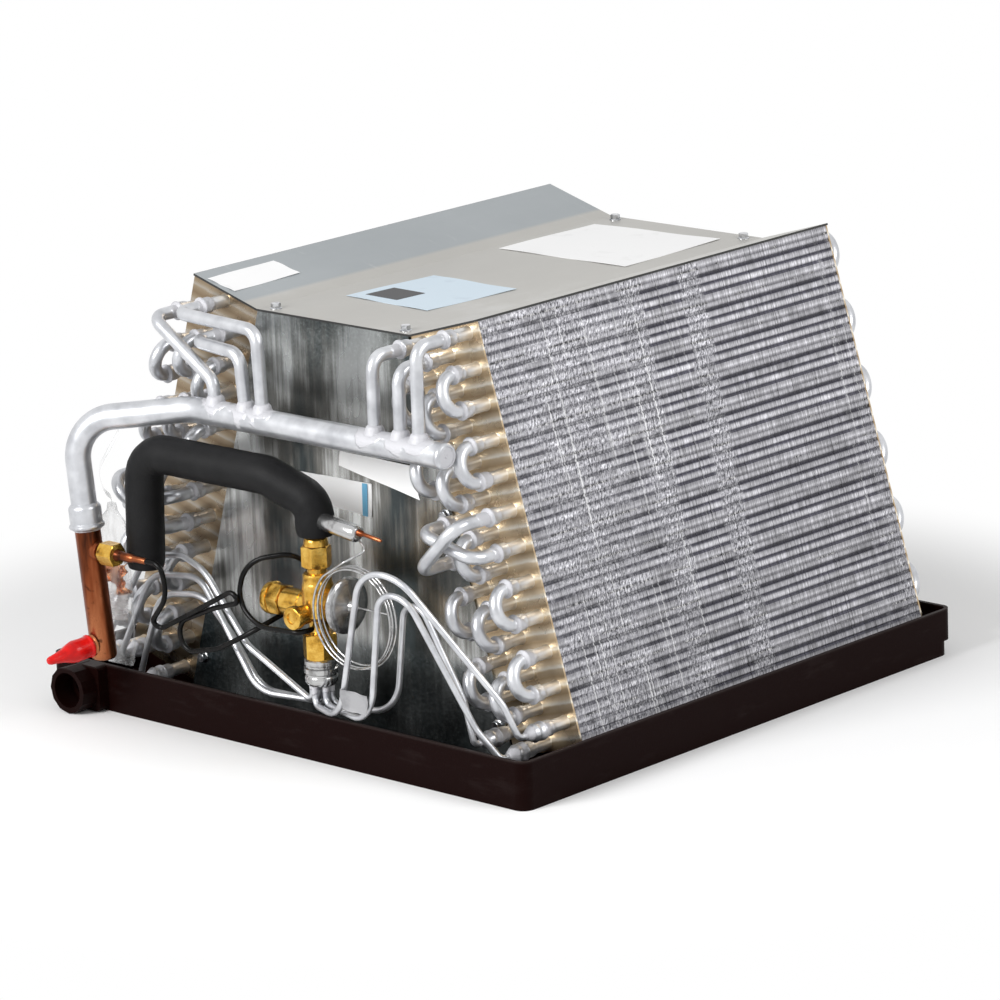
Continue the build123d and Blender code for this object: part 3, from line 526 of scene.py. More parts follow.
for side, hand in ((1, "right"), (-1, "left")):
    down_angle = math.pi / 2 - side * LEAN
    socket = turned_piece("socket", (0, 0, 0), (0, -1, 0), SOCKET, tube_metal, 28, 60)
    mark_brazed(socket, [((0, -0.026, 0), 0.012), ((0, -0.021, 0), 0.010), ((0, 0, 0), 0.006)])
    all_tubes = [tube_xz(side, row, n) for row in range(3) for n in range(1, 13)]
    places = [((x, SHEET_FRONT, z), (0, 0.9 * i, 0)) for i, (x, z) in enumerate(all_tubes)]
    sockets = placed(f"{hand}_tube_sockets", socket, places, tube_metal)
    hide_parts(f"{hand}_circuit_tubes")

    bend = tube_piece("bend", U_LINE, TUBE_R, tube_metal, 22)
    mark_brazed(bend, [(U_LINE[0], 0.0075), (U_LINE[-1], 0.0075)])
    hairpin = tube_piece("hairpin", U_LINE, TUBE_R, tube_metal, 22)
    mark_brazed(hairpin, [])
    for name, node, piece, which, y, turned in (
        ("front_bends", "return_bends", bend, FRONT_BENDS, BELL_MOUTH, 0),
        ("rear_hairpins", "hairpin_bends", hairpin, BACK_BENDS, SLAB_END, math.pi),
    ):
        ends = [tube_xz(side, row, n) for row, n in which]
        places = [((x, y, z), (turned, down_angle, 0)) for x, z in ends]
        bends = placed(f"{hand}_{name}", piece, places, tube_metal)
        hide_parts(f"{hand}_{node}")

# ---- crossover tubes ------------------------------------------------------------------------
# At the middle of each slab the outer and the inner circuit swap, one tube passing in front
# of the other. Bent from the same tube and brazed into the same sockets.
MIDDLE_Y, CROSSOVER_BEND = 0.03216, 0.012
# the side, the outer and the inner tube's number, and how far forward it runs at each of them
CROSSOVERS = {
    "right_inner_crossover": (1, 7, 6, -213.4, -213.4),
    "right_outer_crossover": (1, 6, 7, -224.0, -224.0),
    "left_inner_crossover": (-1, 7, 6, -213.4, -213.4),
    "left_outer_crossover": (-1, 6, 7, -234.4, -215.2),
}


def pan_place(x, y, z):
    """A place in millimetres, with y counted from the pan's middle."""
    return Vector((x / 1000, y / 1000 + MIDDLE_Y, z / 1000))


def route(*places):
    """Places in a row, as a tube passes them."""
    return [pan_place(*place) for place in places]


for node, (side, outer_tube, inner_tube, near_y, far_y) in CROSSOVERS.items():
    (x1, z1), (x2, z2) = tube_xz(side, 0, outer_tube), tube_xz(side, 2, inner_tube)
    start, end = Vector((x1, BELL_MOUTH, z1)), Vector((x2, BELL_MOUTH, z2))
    near, far = Vector((x1, near_y / 1000 + MIDDLE_Y, z1)), Vector((x2, far_y / 1000 + MIDDLE_Y, z2))
    line = filleted([start, near, far, end], CROSSOVER_BEND)
    crossover = tube_piece(node + "_tube", line, TUBE_R, tube_metal)
    mark_brazed(crossover, [(start, 0.012), (end, 0.012)])
    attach(crossover, "root")
    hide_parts(node)

# ---- suction header -------------------------------------------------------------------------
# A larger aluminium tube across the front, closed by a pressed cap on the right, that bends
# forward and down on the left. White flux has run over it round the six feeders' feet.
HEADER_R, HEADER_Y, HEADER_Z, HEADER_BEND = 0.009525, -217.5, 236.0, 0.036
HEADER_END = pan_place(153.5, HEADER_Y, HEADER_Z)
ELBOW, STUB_END = route((-174, -260, 225), (-154, -260, 48))
STUB_RUN = (STUB_END - ELBOW).normalized()
# where the six feeders stand along the header, from the pan's middle
FEEDER_FEET = {"right_inner": 87.66, "right_middle": 112.34, "right_outer": 129.88,
               "left_inner": -38.5, "left_middle": -22.0, "left_outer": -69.0}


def on_stub(z):
    """A place on the leaning axis of the stub, at a height in millimetres."""
    return ELBOW + STUB_RUN * ((z / 1000 - ELBOW.z) / STUB_RUN.z)


header_line = [HEADER_END, pan_place(-93.5, HEADER_Y, HEADER_Z), ELBOW, on_stub(163)]
header_line = filleted(header_line, HEADER_BEND, math.radians(4))
first_run = [HEADER_END.lerp(header_line[1], i / 60) for i in range(60)]
header = tube_piece("header_tube", first_run + header_line[1:], HEADER_R, tube_metal, 40)
feet = [pan_place(x, HEADER_Y, HEADER_Z + 9) for x in FEEDER_FEET.values()]
mark_brazed(header, [(foot, 0.021) for foot in feet] + [(HEADER_END, 0.012)])

CAP = [(-2.0, 9.6), (-1.2, 9.9), (0.4, 9.9), (1.4, 9.5), (2.3, 8.4), (2.4, 7.4), (1.5, 6.9), (1.4, 1.4),
       (2.0, 0.8)]
header_cap = turned_piece("header_end_cap", HEADER_END, (1, 0, 0), CAP, tube_metal)
mark_brazed(header_cap, [(HEADER_END, 0.012)])
for piece, node in ((header, "suction_header"), (header_cap, "header_cap")):
    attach(piece, "root")
    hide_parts(node)

# ---- feeders --------------------------------------------------------------------------------
# Six bent tubes that gather the gas from the first tube of each row into the header. Each
# stands in a drilled hole there, in a thick bead of brazing metal.
ROWS, FEEDER_BEND = {"outer": 0, "middle": 1, "inner": 2}, 0.011
# on the left: how far out the tube turns, and the X and Z of its second bend
LEFT_BENDS = {"inner": (-214, -43, 283), "middle": (-213, -25, 302), "outer": (-214, -71, 260)}
BEAD = [(-1.5, 7.6), (0.3, 7.4), (1.3, 6.9), (2.2, 6.6), (3.6, 6.4), (4.6, 5.7), (5.6, 4.8)]


def joined(name, parts):
    """Join loose meshes, each with its own finish, into one piece that rides on the part."""
    work = bmesh.new()
    finishes = []
    for part in parts:
        finish = part.data.materials[0]
        if finish not in finishes:
            finishes.append(finish)
        for face in part.data.polygons:
            face.material_index = finishes.index(finish)
        work.from_mesh(part.data)
    mesh = parts[0].data.copy()
    mesh.materials.clear()
    for finish in finishes:
        mesh.materials.append(finish)
    work.to_mesh(mesh)
    work.free()
    for part in parts:
        bpy.data.objects.remove(part)
    piece = new_piece(name, mesh)
    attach(piece, "root")
    return piece


for which, foot_x in FEEDER_FEET.items():
    hand, row = which.split("_")
    x, z = tube_xz(1 if hand == "right" else -1, ROWS[row], 1)
    start = Vector((x, BELL_MOUTH, z))
    bends = route((x * 1000, HEADER_Y, z * 1000))
    if hand == "left":
        turn_y, second_x, second_z = LEFT_BENDS[row]
        bends = route((x * 1000, turn_y, z * 1000), (second_x, HEADER_Y, second_z))
    line = filleted([start] + bends + [pan_place(foot_x, HEADER_Y, HEADER_Z)], FEEDER_BEND)
    run = tube_piece("run", line, TUBE_R, tube_metal)
    on_top = pan_place(foot_x, HEADER_Y, HEADER_Z + 9.5)
    mark_brazed(run, [(start, 0.012), (on_top, 0.014)])
    bead = turned_piece("bead", on_top - Vector((0, 0, 0.0015)), (0, 0, 1), BEAD, tube_metal, 28, 60)
    mark_brazed(bead, [(on_top, 0.03)])
    feeder = joined(which + "_feeder_tube", [run, bead])
    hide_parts(which + "_feeder")

# ---- suction coupling -----------------------------------------------------------------------
# Where aluminium changes to copper the tube ends in a thick sleeve, closed at its lower end by
# a bead of white brazing metal that has run a little down the copper.
COUPLING_TOP = on_stub(163)
SLEEVE = [(-1.2, 9.8), (-0.4, 10.6), (0.6, 11.4), (1.6, 11.9), (2.6, 12.0), (13.0, 12.0), (13.5, 12.3),
          (14.3, 13.0), (15.6, 13.2), (16.8, 12.6), (17.4, 11.4), (18.2, 10.4), (19.0, 9.7)]
coupling = turned_piece("suction_coupling", COUPLING_TOP, STUB_RUN, SLEEVE, tube_metal)
mark_brazed(coupling, [(COUPLING_TOP + STUB_RUN * 0.0165, 0.020), (COUPLING_TOP, 0.014)])
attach(coupling, "root")
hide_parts("stub_coupling")

# ---- copper suction stub --------------------------------------------------------------------
# A copper tube spun shut at its foot, with a turned boss for the equaliser and a charging port
# brazed into its side. Handling and the torch have left it brown, with darker runs.
COPPER, COPPER_PINK, COPPER_BURNT = (0.205, 0.052, 0.018), (0.40, 0.145, 0.062), (0.045, 0.014, 0.007)

copper = Finish("copper")
runs = copper.noise(copper.place((75, 75, 10)), 1.0, 4.0, 0.55)
spots = copper.noise(copper.place(), 160.0, 4.0, 0.6)
body_tone = copper.ramp(runs, (0.28, COPPER_BURNT), (0.43, COPPER), (0.66, COPPER_PINK))
spotted = copper.ramp(spots, (0.60, 0.0), (0.72, 0.75))
copper.shade(copper.blend(spotted, body_tone, COPPER_BURNT), 0.95, copper.spread(runs, 0.40, 0.18))
copper.bump(spots, 0.0003, 0.35)

PORT_RUN = Vector((-0.18, -0.975, -0.125)).normalized()
boss_root, port_root = on_stub(130), on_stub(62)
STUB_LENGTH = (COUPLING_TOP + STUB_RUN * 0.0174 - STUB_END).length * 1000
SPUN = [(0, 1.0), (0.2, 5.0), (0.8, 7.2), (1.8, 8.5), (3.0, 9.2), (4.4, 9.525), (STUB_LENGTH, 9.525)]
BOSS = [(0, 7.9), (9.0, 7.5), (9.6, 6.8), (10.6, 6.2), (11.5, 4.5)]
PORT, PORT_BEAD = [(0, 6.5), (10.0, 6.5), (10.8, 5.2), (18, 5.2)], [(0, 8.0), (1.0, 7.4), (2.2, 6.5)]
stub = joined("copper_suction_stub", [
    turned_piece("tube", STUB_END, -STUB_RUN, SPUN, copper),
    turned_piece("boss", boss_root, (1, 0, 0), BOSS, copper),
    turned_piece("port", port_root, PORT_RUN, PORT, copper),
    turned_piece("port_bead", port_root + PORT_RUN * 0.0085, PORT_RUN, PORT_BEAD, copper),
])
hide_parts("suction_stub")

# ---- charging port cap ----------------------------------------------------------------------
# A push-on cap of glossy red vinyl. It is wider and creased round its mouth, and it tapers to a
# blunt pulled tip.
vinyl = Finish("red_cap_vinyl")
stretch = vinyl.noise(vinyl.place(), 120.0)
tone = vinyl.ramp(stretch, (0.35, (0.42, 0.003, 0.003)), (0.65, (0.62, 0.006, 0.005)))
vinyl.shade(tone, rough=0.22, specular=0.25)
vinyl.bump(stretch, 0.0009, 0.5)

CAP_FORM = [(0, 7.2), (0.2, 8.2), (0.9, 8.6), (2.0, 8.6), (2.6, 8.1), (3.6, 8.0), (9, 8.3), (14, 8.4),
            (18, 7.6), (21, 6.4), (24, 5.2), (28, 4.4), (32, 3.7), (35, 3.2), (36.6, 2.6), (37.4, 1.6),
            (37.5, 0.4)]
CAP_MOUTH = port_root + PORT_RUN * 0.0108
red_cap = turned_piece("port_cap_cover", CAP_MOUTH, PORT_RUN, CAP_FORM, vinyl, 48, 60)
side_way = PORT_RUN.orthogonal().normalized()
other_way = PORT_RUN.cross(side_way)
for vert in red_cap.data.vertices:
    offset = vert.co - CAP_MOUTH
    far = offset.dot(PORT_RUN)
    angle = math.atan2(offset.dot(other_way), offset.dot(side_way))
    crease = 0.00035 * math.sin(5 * angle + far * 260) * min(1, max(0, (far - 0.002) / 0.006))
    vert.co -= (offset - PORT_RUN * far).normalized() * abs(crease)
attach(red_cap, "root")
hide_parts("port_cap")

# ---- equaliser fitting ----------------------------------------------------------------------
# A brass flare nut screws onto the boss. A copper sleeve comes out of it, crimped down onto the
# thin tube and pinkish where the torch has cleaned it.
BRASS, BRASS_PALE, BRASS_BROWN = (0.56, 0.31, 0.045), (0.82, 0.54, 0.13), (0.14, 0.062, 0.010)

brass = Finish("brass")
place = brass.place()
cloud = brass.noise(place, 120.0, 4.0, 0.55)
tone = brass.ramp(cloud, (0.30, BRASS_BROWN), (0.44, BRASS), (0.72, BRASS_PALE))
brass.shade(tone, 0.9, brass.spread(cloud, 0.34, 0.12))
brass.bump(brass.noise(place, 900.0, 2.0), 0.0002, 0.3)


def hexagon_piece(name, start, end, across_flats, finish, spin=0.0):
    """A hexagon bar between two places, its corners turned off at both ends."""
    start, end = Vector(start), Vector(end)
    direction, length = (end - start).normalized(), (end - start).length
    across = direction.orthogonal().normalized()
    other = direction.cross(across)
    flat, face = across_flats / 2000, across_flats / 2000 * 0.97
    corner = flat / math.cos(math.pi / 6)
    turned_off = (corner - face) * math.tan(math.pi / 6)
    rings = [(share * turned_off, face + share * (corner - face)) for share in (0, 0.3, 0.6, 1.0)]
    rings += [(length - far, limit) for far, limit in rings[::-1]]
    loops = []
    for far, limit in rings:
        loop = []
        for j in range(48):
            angle = 2 * math.pi * j / 48 + spin
            to_flat = (2 * math.pi * j / 48) % (math.pi / 3) - math.pi / 6
            radius = min(flat / math.cos(to_flat), limit)
            outward = across * math.cos(angle) + other * math.sin(angle)
            loop.append(start + direction * far + outward * radius)
        loops.append(loop)
    return rings_to_mesh(name, loops, finish, 24)


nut_start = boss_root + Vector((0.0115, 0, 0))
nut_end = nut_start + Vector((0.017, 0, 0))
equaliser_nut = joined("equaliser_flare_nut", [
    turned_piece("neck", nut_start, (1, 0, 0), [(0, 4.5), (3.2, 4.5)], brass),
    hexagon_piece("hexagon", nut_start + Vector((0.003, 0, 0)), nut_end, 15.9, brass, 0.26),
])
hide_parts("equaliser_nut")

SLEEVE_FORM = [(-0.5, 4.6), (0.4, 4.4), (1.4, 3.9), (2.0, 3.6), (9, 3.45), (15.6, 3.2), (16.6, 2.7),
               (18, 2.5), (28.6, 2.35), (30, 1.7)]
sleeve = turned_piece("equaliser_crimp_sleeve", nut_end, (1, 0, 0), SLEEVE_FORM, copper, 32)
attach(sleeve, "root")
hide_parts("equaliser_sleeve")

# ---- liquid line and its foam ---------------------------------------------------------------
# A thin copper tube rises to the valve inside a thick sleeve of black closed-cell foam, whose
# thickness wavers a little along its length and thins at both ends.
foam = Finish("black_foam")
place = foam.place()
haze = foam.noise(place, 45.0, 5.0, 0.6)
cells = foam.add("ShaderNodeTexVoronoi", Vector=place, Scale=1400.0).outputs["Distance"]
tone = foam.ramp(haze, (0.35, (0.0035, 0.0035, 0.004)), (0.72, (0.008, 0.008, 0.0085)))
foam.shade(tone, rough=0.55, specular=0.17)
foam.bump(foam.maths("ADD", foam.maths("MULTIPLY", haze, 4.0), cells), 0.0004, 0.35)

FOAM_R, LINE_BEND = 0.0143, 0.022
LINE_FOOT, LINE_END, FOAM_TOP = route((-130.5, -236, 117), (29.5, -222, 161), (29.5, -222, 162.5))
LINE_BENDS = route((-127, -236, 204), (-8, -230, 202), (29.5, -222, 186))
corners = filleted([LINE_FOOT] + LINE_BENDS + [FOAM_TOP], LINE_BEND, math.radians(5))
foam_line = []
for here, after in zip(corners, corners[1:]):
    count = max(1, round((after - here).length / 0.004))
    foam_line += [here.lerp(after, i / count) for i in range(count)]
foam_line.append(corners[-1])
ends = {0: 0.90, 1: 0.985, len(foam_line) - 2: 0.985, len(foam_line) - 1: 0.90}
foam_radii = []
for i in range(len(foam_line)):
    wave = 1 - 0.012 * abs(math.sin(i * 0.9)) - 0.008 * abs(math.sin(i * 0.37 + 1))
    foam_radii.append(FOAM_R * wave * ends.get(i, 1.0))
foam_tube = tube_piece("foam_insulation", foam_line, foam_radii, foam, 48)
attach(foam_tube, "root")
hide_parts("foam_sleeve")

bare_foot = LINE_FOOT + (LINE_FOOT - LINE_BENDS[0]).normalized() * 0.001
bare_line = filleted([bare_foot] + LINE_BENDS + [LINE_END], LINE_BEND)
line_tube = tube_piece("liquid_tube", bare_line, TUBE_R, copper)
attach(line_tube, "root")
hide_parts("liquid_line")

# ---- expansion valve ------------------------------------------------------------------------
# A forged and turned brass body stands on the distributor, with hexagon nuts above and below,
# a flanged hexagon cap on its stem at the left and a round plug at the front.
VALVE_X, VALVE_Y = 29.5, -222.0
DOWN, UP, LEFT, FORWARD = Vector((0, 0, -1)), Vector((0, 0, 1)), (-1, 0, 0), (0, -1, 0)


def on_valve(z, to_side=0.0, to_back=0.0):
    return pan_place(VALVE_X + to_side, VALVE_Y + to_back, z)


BODY = [(0, 7), (4, 7), (4.6, 9.8), (5.6, 10.5), (10.4, 10.5), (11.4, 10.9), (13, 11.4), (20, 11.5),
        (34, 11.5), (35.6, 11.2), (36.8, 10.0), (38, 8.2), (39.4, 7.5), (48, 7.5)]
HOUSING = [(0, 10), (12, 10), (12.4, 9.4), (13.6, 9.4), (14, 10), (30.8, 10), (31.6, 9.2), (32, 8.4)]
NECK = [(0, 9.5), (17.6, 9.5), (18.4, 10.4), (19.2, 11), (22.4, 11), (23, 10.4)]
SHANK = [(0, 8.6), (0.4, 9), (3.0, 8.8), (5.2, 8.3), (6.2, 7.4)]
FLANGE = [(0, 10.6), (0.5, 11.6), (1.0, 12), (3.6, 12), (4.6, 11.7), (5.5, 10.8), (5.6, 8.0),
          (4.9, 7.4), (4.9, 0.8)]
PLUG = [(0, 8.0), (0.5, 8.6), (4.6, 8.6), (5.6, 8.1), (6, 7.4), (6, 4.2), (5.0, 3.8), (5.0, 0.6)]
body = joined("expansion_valve_body", [
    turned_piece("barrel", on_valve(139), DOWN, BODY, brass),
    turned_piece("housing", on_valve(109), LEFT, HOUSING, brass),
    turned_piece("neck", on_valve(115), (1, 0, 0), NECK, brass),
    turned_piece("boss", on_valve(105, -5), FORWARD, [(0, 7), (15.8, 7), (17, 6.4)], brass),
])
top_nut = joined("valve_inlet_nut", [
    hexagon_piece("hexagon", on_valve(139), on_valve(155), 19.05, brass, 0.2),
    turned_piece("shank", on_valve(154.8), UP, SHANK, brass),
])
low_nut = joined("valve_outlet_nut", [
    hexagon_piece("hexagon", on_valve(91), on_valve(72), 22.2, brass, 0.35),
])
stem_cover = joined("valve_stem_cap", [
    hexagon_piece("hexagon", on_valve(109, -32), on_valve(109, -43), 21, brass),
    turned_piece("flange", on_valve(109, -43), LEFT, FLANGE, brass),
])
front_cap = joined("valve_front_plug", [
    turned_piece("plug", on_valve(105, -5, -17), FORWARD, PLUG, brass),
])
for piece, node in ((body, "valve_body"), (top_nut, "inlet_nut"), (low_nut, "outlet_nut"),
                    (stem_cover, "stem_cap"), (front_cap, "front_plug")):
    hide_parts(node)

# ---- power head, distributor and sensing bulb -------------------------------------------------
# Plated steel: a domed head welded round its rim, a ribbed distributor that is brazed to the
# capillaries, and the bulb whose pinched tail holds the fine tube.
STEEL, STEEL_DULL = (0.50, 0.50, 0.50), (0.22, 0.218, 0.215)

plated_steel = Finish("plated_steel")
place = plated_steel.place()
cloud = plated_steel.noise(place, 110.0, 4.0, 0.6)
tone = plated_steel.ramp(cloud, (0.30, STEEL_DULL), (0.50, STEEL))
plated_steel.shade(tone, 0.95, plated_steel.spread(cloud, 0.28, 0.10))
plated_steel.bump(plated_steel.noise(place, 800.0, 2.0), 0.0002, 0.25)

HEAD = [(0, 9), (0.7, 14), (1.5, 17), (2.6, 19.4), (3.4, 20.3), (4.0, 20.5), (4.5, 20.1), (5.2, 20.5),
        (6, 20.4), (6.8, 19.4), (7.6, 18.2), (8.2, 15), (8.6, 12), (9.1, 9.2), (9.5, 7.2), (10.2, 4.6),
        (12, 3.9), (15, 3.2), (16.4, 2.2), (17, 1.4)]
head = turned_piece("valve_power_head", on_valve(115, 23), (1, 0, 0), HEAD, plated_steel, 56, 40)

RIBS = [(0, 11), (1, 12), (4, 12), (4.8, 11), (5.8, 11), (6.6, 12.4), (10, 12.4), (11, 11.2), (12, 11.2),
        (12.7, 11.8), (13.3, 12), (16, 12), (17.4, 11.5), (18.6, 10.6), (19.6, 9.6), (20, 8.6)]
spreader = turned_piece("liquid_distributor", on_valve(72), DOWN, RIBS, plated_steel)

BULB_START, BULB_END = route((40, -225, 174.5), (75, -225, 170))
tail = (BULB_END - BULB_START).normalized()
BULB = [(0, 5.6), (0.8, 6.25), (32.6, 6.25), (34.4, 5.6), (35.1, 4.4), (35.28, 2.8)]
TAIL = [(-0.6, 2.8), (0, 2.6), (4, 2.2), (5, 1.5), (20, 1.5), (22, 0.8)]
bulb = joined("sensing_bulb_body", [
    turned_piece("bulb", BULB_START, tail, BULB, plated_steel, 40, 40),
    turned_piece("tail", BULB_END + Vector((0, 0, 0.0015)), tail, TAIL, copper, 24),
])

COIL_X, COIL_Z, COIL_R = 79.0, 113.5, 37.5
COIL_STEPS, COIL_TURNS, FINE_R, FINE_BEND = 48, 3.5, 0.0008, 0.004
coil = []
for i in range(round(COIL_STEPS * COIL_TURNS) + 1):
    step = 8 * i / COIL_STEPS
    angle = math.radians(135) + math.pi * step / 4
    reach = COIL_R - 1.2 + 1.1 * math.sin(step * 0.7) + 0.9 * math.sin(step * 0.31 + 2)
    x, z = COIL_X + reach * math.cos(angle), COIL_Z + reach * math.sin(angle)
    coil.append(pan_place(x, -239.5 + 1.9 * step / 8, z))
lead_in = [BULB_END + Vector((0, 0, -0.004))] + route((86, -229, 161), (74, -241, 153))
lead_out = route((109, -230, 108), (98, VALVE_Y, 115), (VALVE_X + 40.05, VALVE_Y, 115))
fine_line = filleted(lead_in + [coil[0]], FINE_BEND) + coil[1:]
fine_line += filleted([coil[-1]] + lead_out, FINE_BEND)[1:]
fine_tube = tube_piece("bulb_fine_tube", fine_line, FINE_R, plated_steel, 10)
for piece in (head, spreader, fine_tube):
    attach(piece, "root")
for piece, node in ((head, "power_head"), (spreader, "distributor"), (bulb, "sensing_bulb"),
                    (fine_tube, "bulb_capillary")):
    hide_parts(node)

# ---- capillaries ----------------------------------------------------------------------------
# Six thin aluminium tubes leave the distributor's foot and loop out to the lowest tube of each
# row, where a cone with a rough white joint takes each one in.
CAPILLARY_R, CAPILLARY_BEND = 0.00238, 0.030
CAPILLARY_ROUTES = {
    "right_outer": route((29, -229, 52), (29, -229, 38), (68, -244, 39), (99, -251, 152), (136, -251, 155),
                         (200, -218, 66)),
    "right_middle": route((36, -225, 52), (36, -225, 39), (98, -244, 40), (112, -246, 138), (138, -245, 138),
                          (176, -220, 44)),
    "right_inner": route((35, -218, 52), (35, -218, 38), (97, -216, 40), (110, -219, 122), (128, -220, 125),
                         (158, -212, 60)),
    "left_outer": route((23, -225, 52), (23, -225, 38.5), (-36, -230, 72), (-80, -226, 119),
                        (-112, -217, 124), (-152, -215, 118)),
    "left_middle": route((24, -219, 52), (24, -219, 38), (-26, -231, 39), (-62, -226, 82), (-96, -216, 110),
                         (-148, -215, 104)),
    "left_inner": route((29, -215, 52), (29, -215, 36), (-36, -217, 36), (-66, -216, 72), (-94, -215, 97),
                        (-140, -215, 90)),
}
CONE = [(-0.6, 6.6), (1.2, 6.7), (2.4, 6.1), (3.8, 6.0), (5.2, 6.7), (6.4, 6.8), (8, 6.1), (11, 4.6),
        (13.5, 3.3), (14.3, 2.6)]
cones = []
for which, points in CAPILLARY_ROUTES.items():
    hand, row = which.split("_")
    x, z = tube_xz(1 if hand == "right" else -1, ROWS[row], 12)
    mouth = Vector((x, BELL_MOUTH, z))
    tip = mouth + Vector((0, -0.0135, 0))
    line = filleted(points + [tip + Vector((0, -0.008, 0)), tip], CAPILLARY_BEND)
    capillary = tube_piece(which + "_capillary_tube", line, CAPILLARY_R, tube_metal, 14)
    mark_brazed(capillary, [(points[0], 0.009), (tip, 0.007)])
    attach(capillary, "root")
    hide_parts(which + "_capillary")
    cone = turned_piece("cone", mouth, (0, -1, 0), CONE, tube_metal, 28, 50)
    mark_brazed(cone, [(mouth, 0.012), (tip, 0.012)])
    cones.append(cone)
cones = joined("capillary_cones", cones)
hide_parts("joint_cones")

# ---- equaliser tube -------------------------------------------------------------------------
# A thin tube in a glossy black coating wanders from the sleeve, round in two loose loops, to the
# valve. It is bent by hand, so no two of its curves match.
coating = Finish("black_coating")
smudge = coating.noise(coating.place(), 90.0, 4.0)
tone = coating.ramp(smudge, (0.4, (0.002, 0.002, 0.002)), (0.75, (0.008, 0.0075, 0.007)))
coating.shade(tone, rough=coating.spread(smudge, 0.16, 0.38), specular=0.14)
coating.bump(smudge, 0.0005, 0.2)

EQUALISER_R, EQUALISER_BEND = 0.00195, 0.030
sleeve_end = nut_start + Vector((0.047, 0, 0))
WANDER = route((-88, -257, 106), (-121, -254, 68), (-77, -247, 92), (-34, -245, 116), (-28, -244, 108),
               (-56, -243, 99), (-95, -242, 82), (-90, -241, 60), (-56, -240, 68), (-22, -238, 86),
               (-14, -206, 97), (4, -206, 112), (8, -207, 134), (2, -220, 144), (-26, -238, 138),
               (-34, -240, 108), (-14, -241, 92), (29.5, -241, 94), (29.5, -222, 95))
points = [sleeve_end - Vector((0.002, 0, 0)), sleeve_end + Vector((0.014, 0, 0))] + WANDER
line = filleted(points, EQUALISER_BEND)
equaliser = tube_piece("equaliser_coated_tube", line, EQUALISER_R, coating, 14)
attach(equaliser, "root")
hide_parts("equaliser_tube")

# ---- cover and end panels --------------------------------------------------------------------
# Folded galvanised sheet with a thin dark cut edge. The cover has gone dull and is scuffed across, and its
# left wing is painted darker and bluer as painted shade. The panels still shine, with faint vertical roller
# streaks, and their reflections are painted on as broad dark and bright blotches.
GALV_TAN, WING_SHADE_BLUE, GALV_PALE = (0.455, 0.445, 0.420), (0.37, 0.395, 0.41), (0.58, 0.578, 0.57)
CUT_EDGE = (0.035, 0.035, 0.034)
COVER_FRONT, COVER_SIDE = -0.13374, 0.13808
WING_FOLD = -0.088

cover = Finish("cover_galvanised")
place = cover.place()
x, y = cover.axis(place, "X"), cover.axis(place, "Y")
cloud = cover.noise(cover.place((9, 5, 9)), 1.0, 6.0, 0.62)
scuffs = cover.noise(cover.place((30, 120, 30)), 1.0, 5.0, 0.7)
flat = cover.ramp(cloud, (0.30, (0.41, 0.40, 0.375)), (0.55, GALV_TAN), (0.75, GALV_PALE))
# the left wing past its fold is painted darker and bluer, painted shade on the same sheet
wing = cover.ramp(cloud, (0.30, (0.31, 0.335, 0.35)), (0.70, WING_SHADE_BLUE))
tone = cover.blend(cover.spread(x, start=WING_FOLD - 0.002, end=WING_FOLD + 0.002), wing, flat)
scuffed = cover.blend(cover.ramp(scuffs, (0.62, 0.0), (0.80, 0.30)), tone, (0.60, 0.60, 0.59))
side_cut = cover.maths("GREATER_THAN", cover.maths("ABSOLUTE", x), COVER_SIDE)
cut = cover.maths("MAXIMUM", cover.maths("LESS_THAN", y, COVER_FRONT), side_cut)
cover.shade(cover.blend(cut, scuffed, CUT_EDGE), 0.45, cover.spread(cloud, 0.34, 0.50))
cover.bump(cloud, 0.0015, 0.25)
dress("top_cover", cover)

panel = Finish("panel_galvanised")
place = panel.place()
roller = panel.noise(panel.place((230, 230, 5)), 1.0, 4.0, 0.65)
broad = panel.noise(panel.place((24, 24, 11)))
speck = panel.noise(place, 420.0, 5.0, 0.75)
# broad blotches of painted reflection, dark teal and bright, with the roller streaks running through them
mixed = panel.maths("MULTIPLY_ADD", broad, 0.78, panel.maths("MULTIPLY", roller, 0.30))
tone = panel.ramp(mixed, (0.42, (0.060, 0.072, 0.074)), (0.54, (0.20, 0.195, 0.18)),
                  (0.65, (0.66, 0.67, 0.66)))
# darker and speckled at the foot, down in the pan, where the pan's dark reflection is painted, and near the
# top under the cover
height = panel.spread(panel.axis(place, "Z"), end=0.32)
top_and_foot = panel.ramp(height, (0.10, 1.0), (0.20, 0.85), (0.23, 0.10), (0.70, 0.0), (0.93, 0.75), (1.0, 1.0))
dark_speckle = panel.ramp(speck, (0.42, (0.030, 0.045, 0.050)), (0.60, (0.13, 0.155, 0.16)),
                  (0.72, (0.42, 0.46, 0.47)))
tone = panel.blend(panel.maths("MULTIPLY", top_and_foot, 0.72), tone, dark_speckle)
panel.shade(tone, 0.85, panel.spread(broad, 0.16, 0.34))
panel.bump(broad, 0.004, 0.35)
for end in ("front", "back"):
    dress(f"{end}_panel", panel)

# ---- screws ---------------------------------------------------------------------------------
# Bright zinc hexagon-head screws with a pressed washer. Four hold the cover down to the panels'
# flanges, and two at each side hold each panel to its tube sheets.
zinc = Finish("screw_zinc")
cloud = zinc.noise(zinc.place(), 260.0)
zinc.shade(zinc.ramp(cloud, (0.35, (0.20, 0.21, 0.225)), (0.6, (0.62, 0.63, 0.65))), 0.95, 0.16)
zinc.bump(cloud, 0.0003, 0.3)

COVER_TOP = 0.3021
PANEL_FRONT, PANEL_BACK = -0.1661 + MIDDLE_Y, 0.224 + MIDDLE_Y
WASHER = [(0, 4.4), (0.5, 4.4), (0.9, 4.0), (1.2, 3.2)]

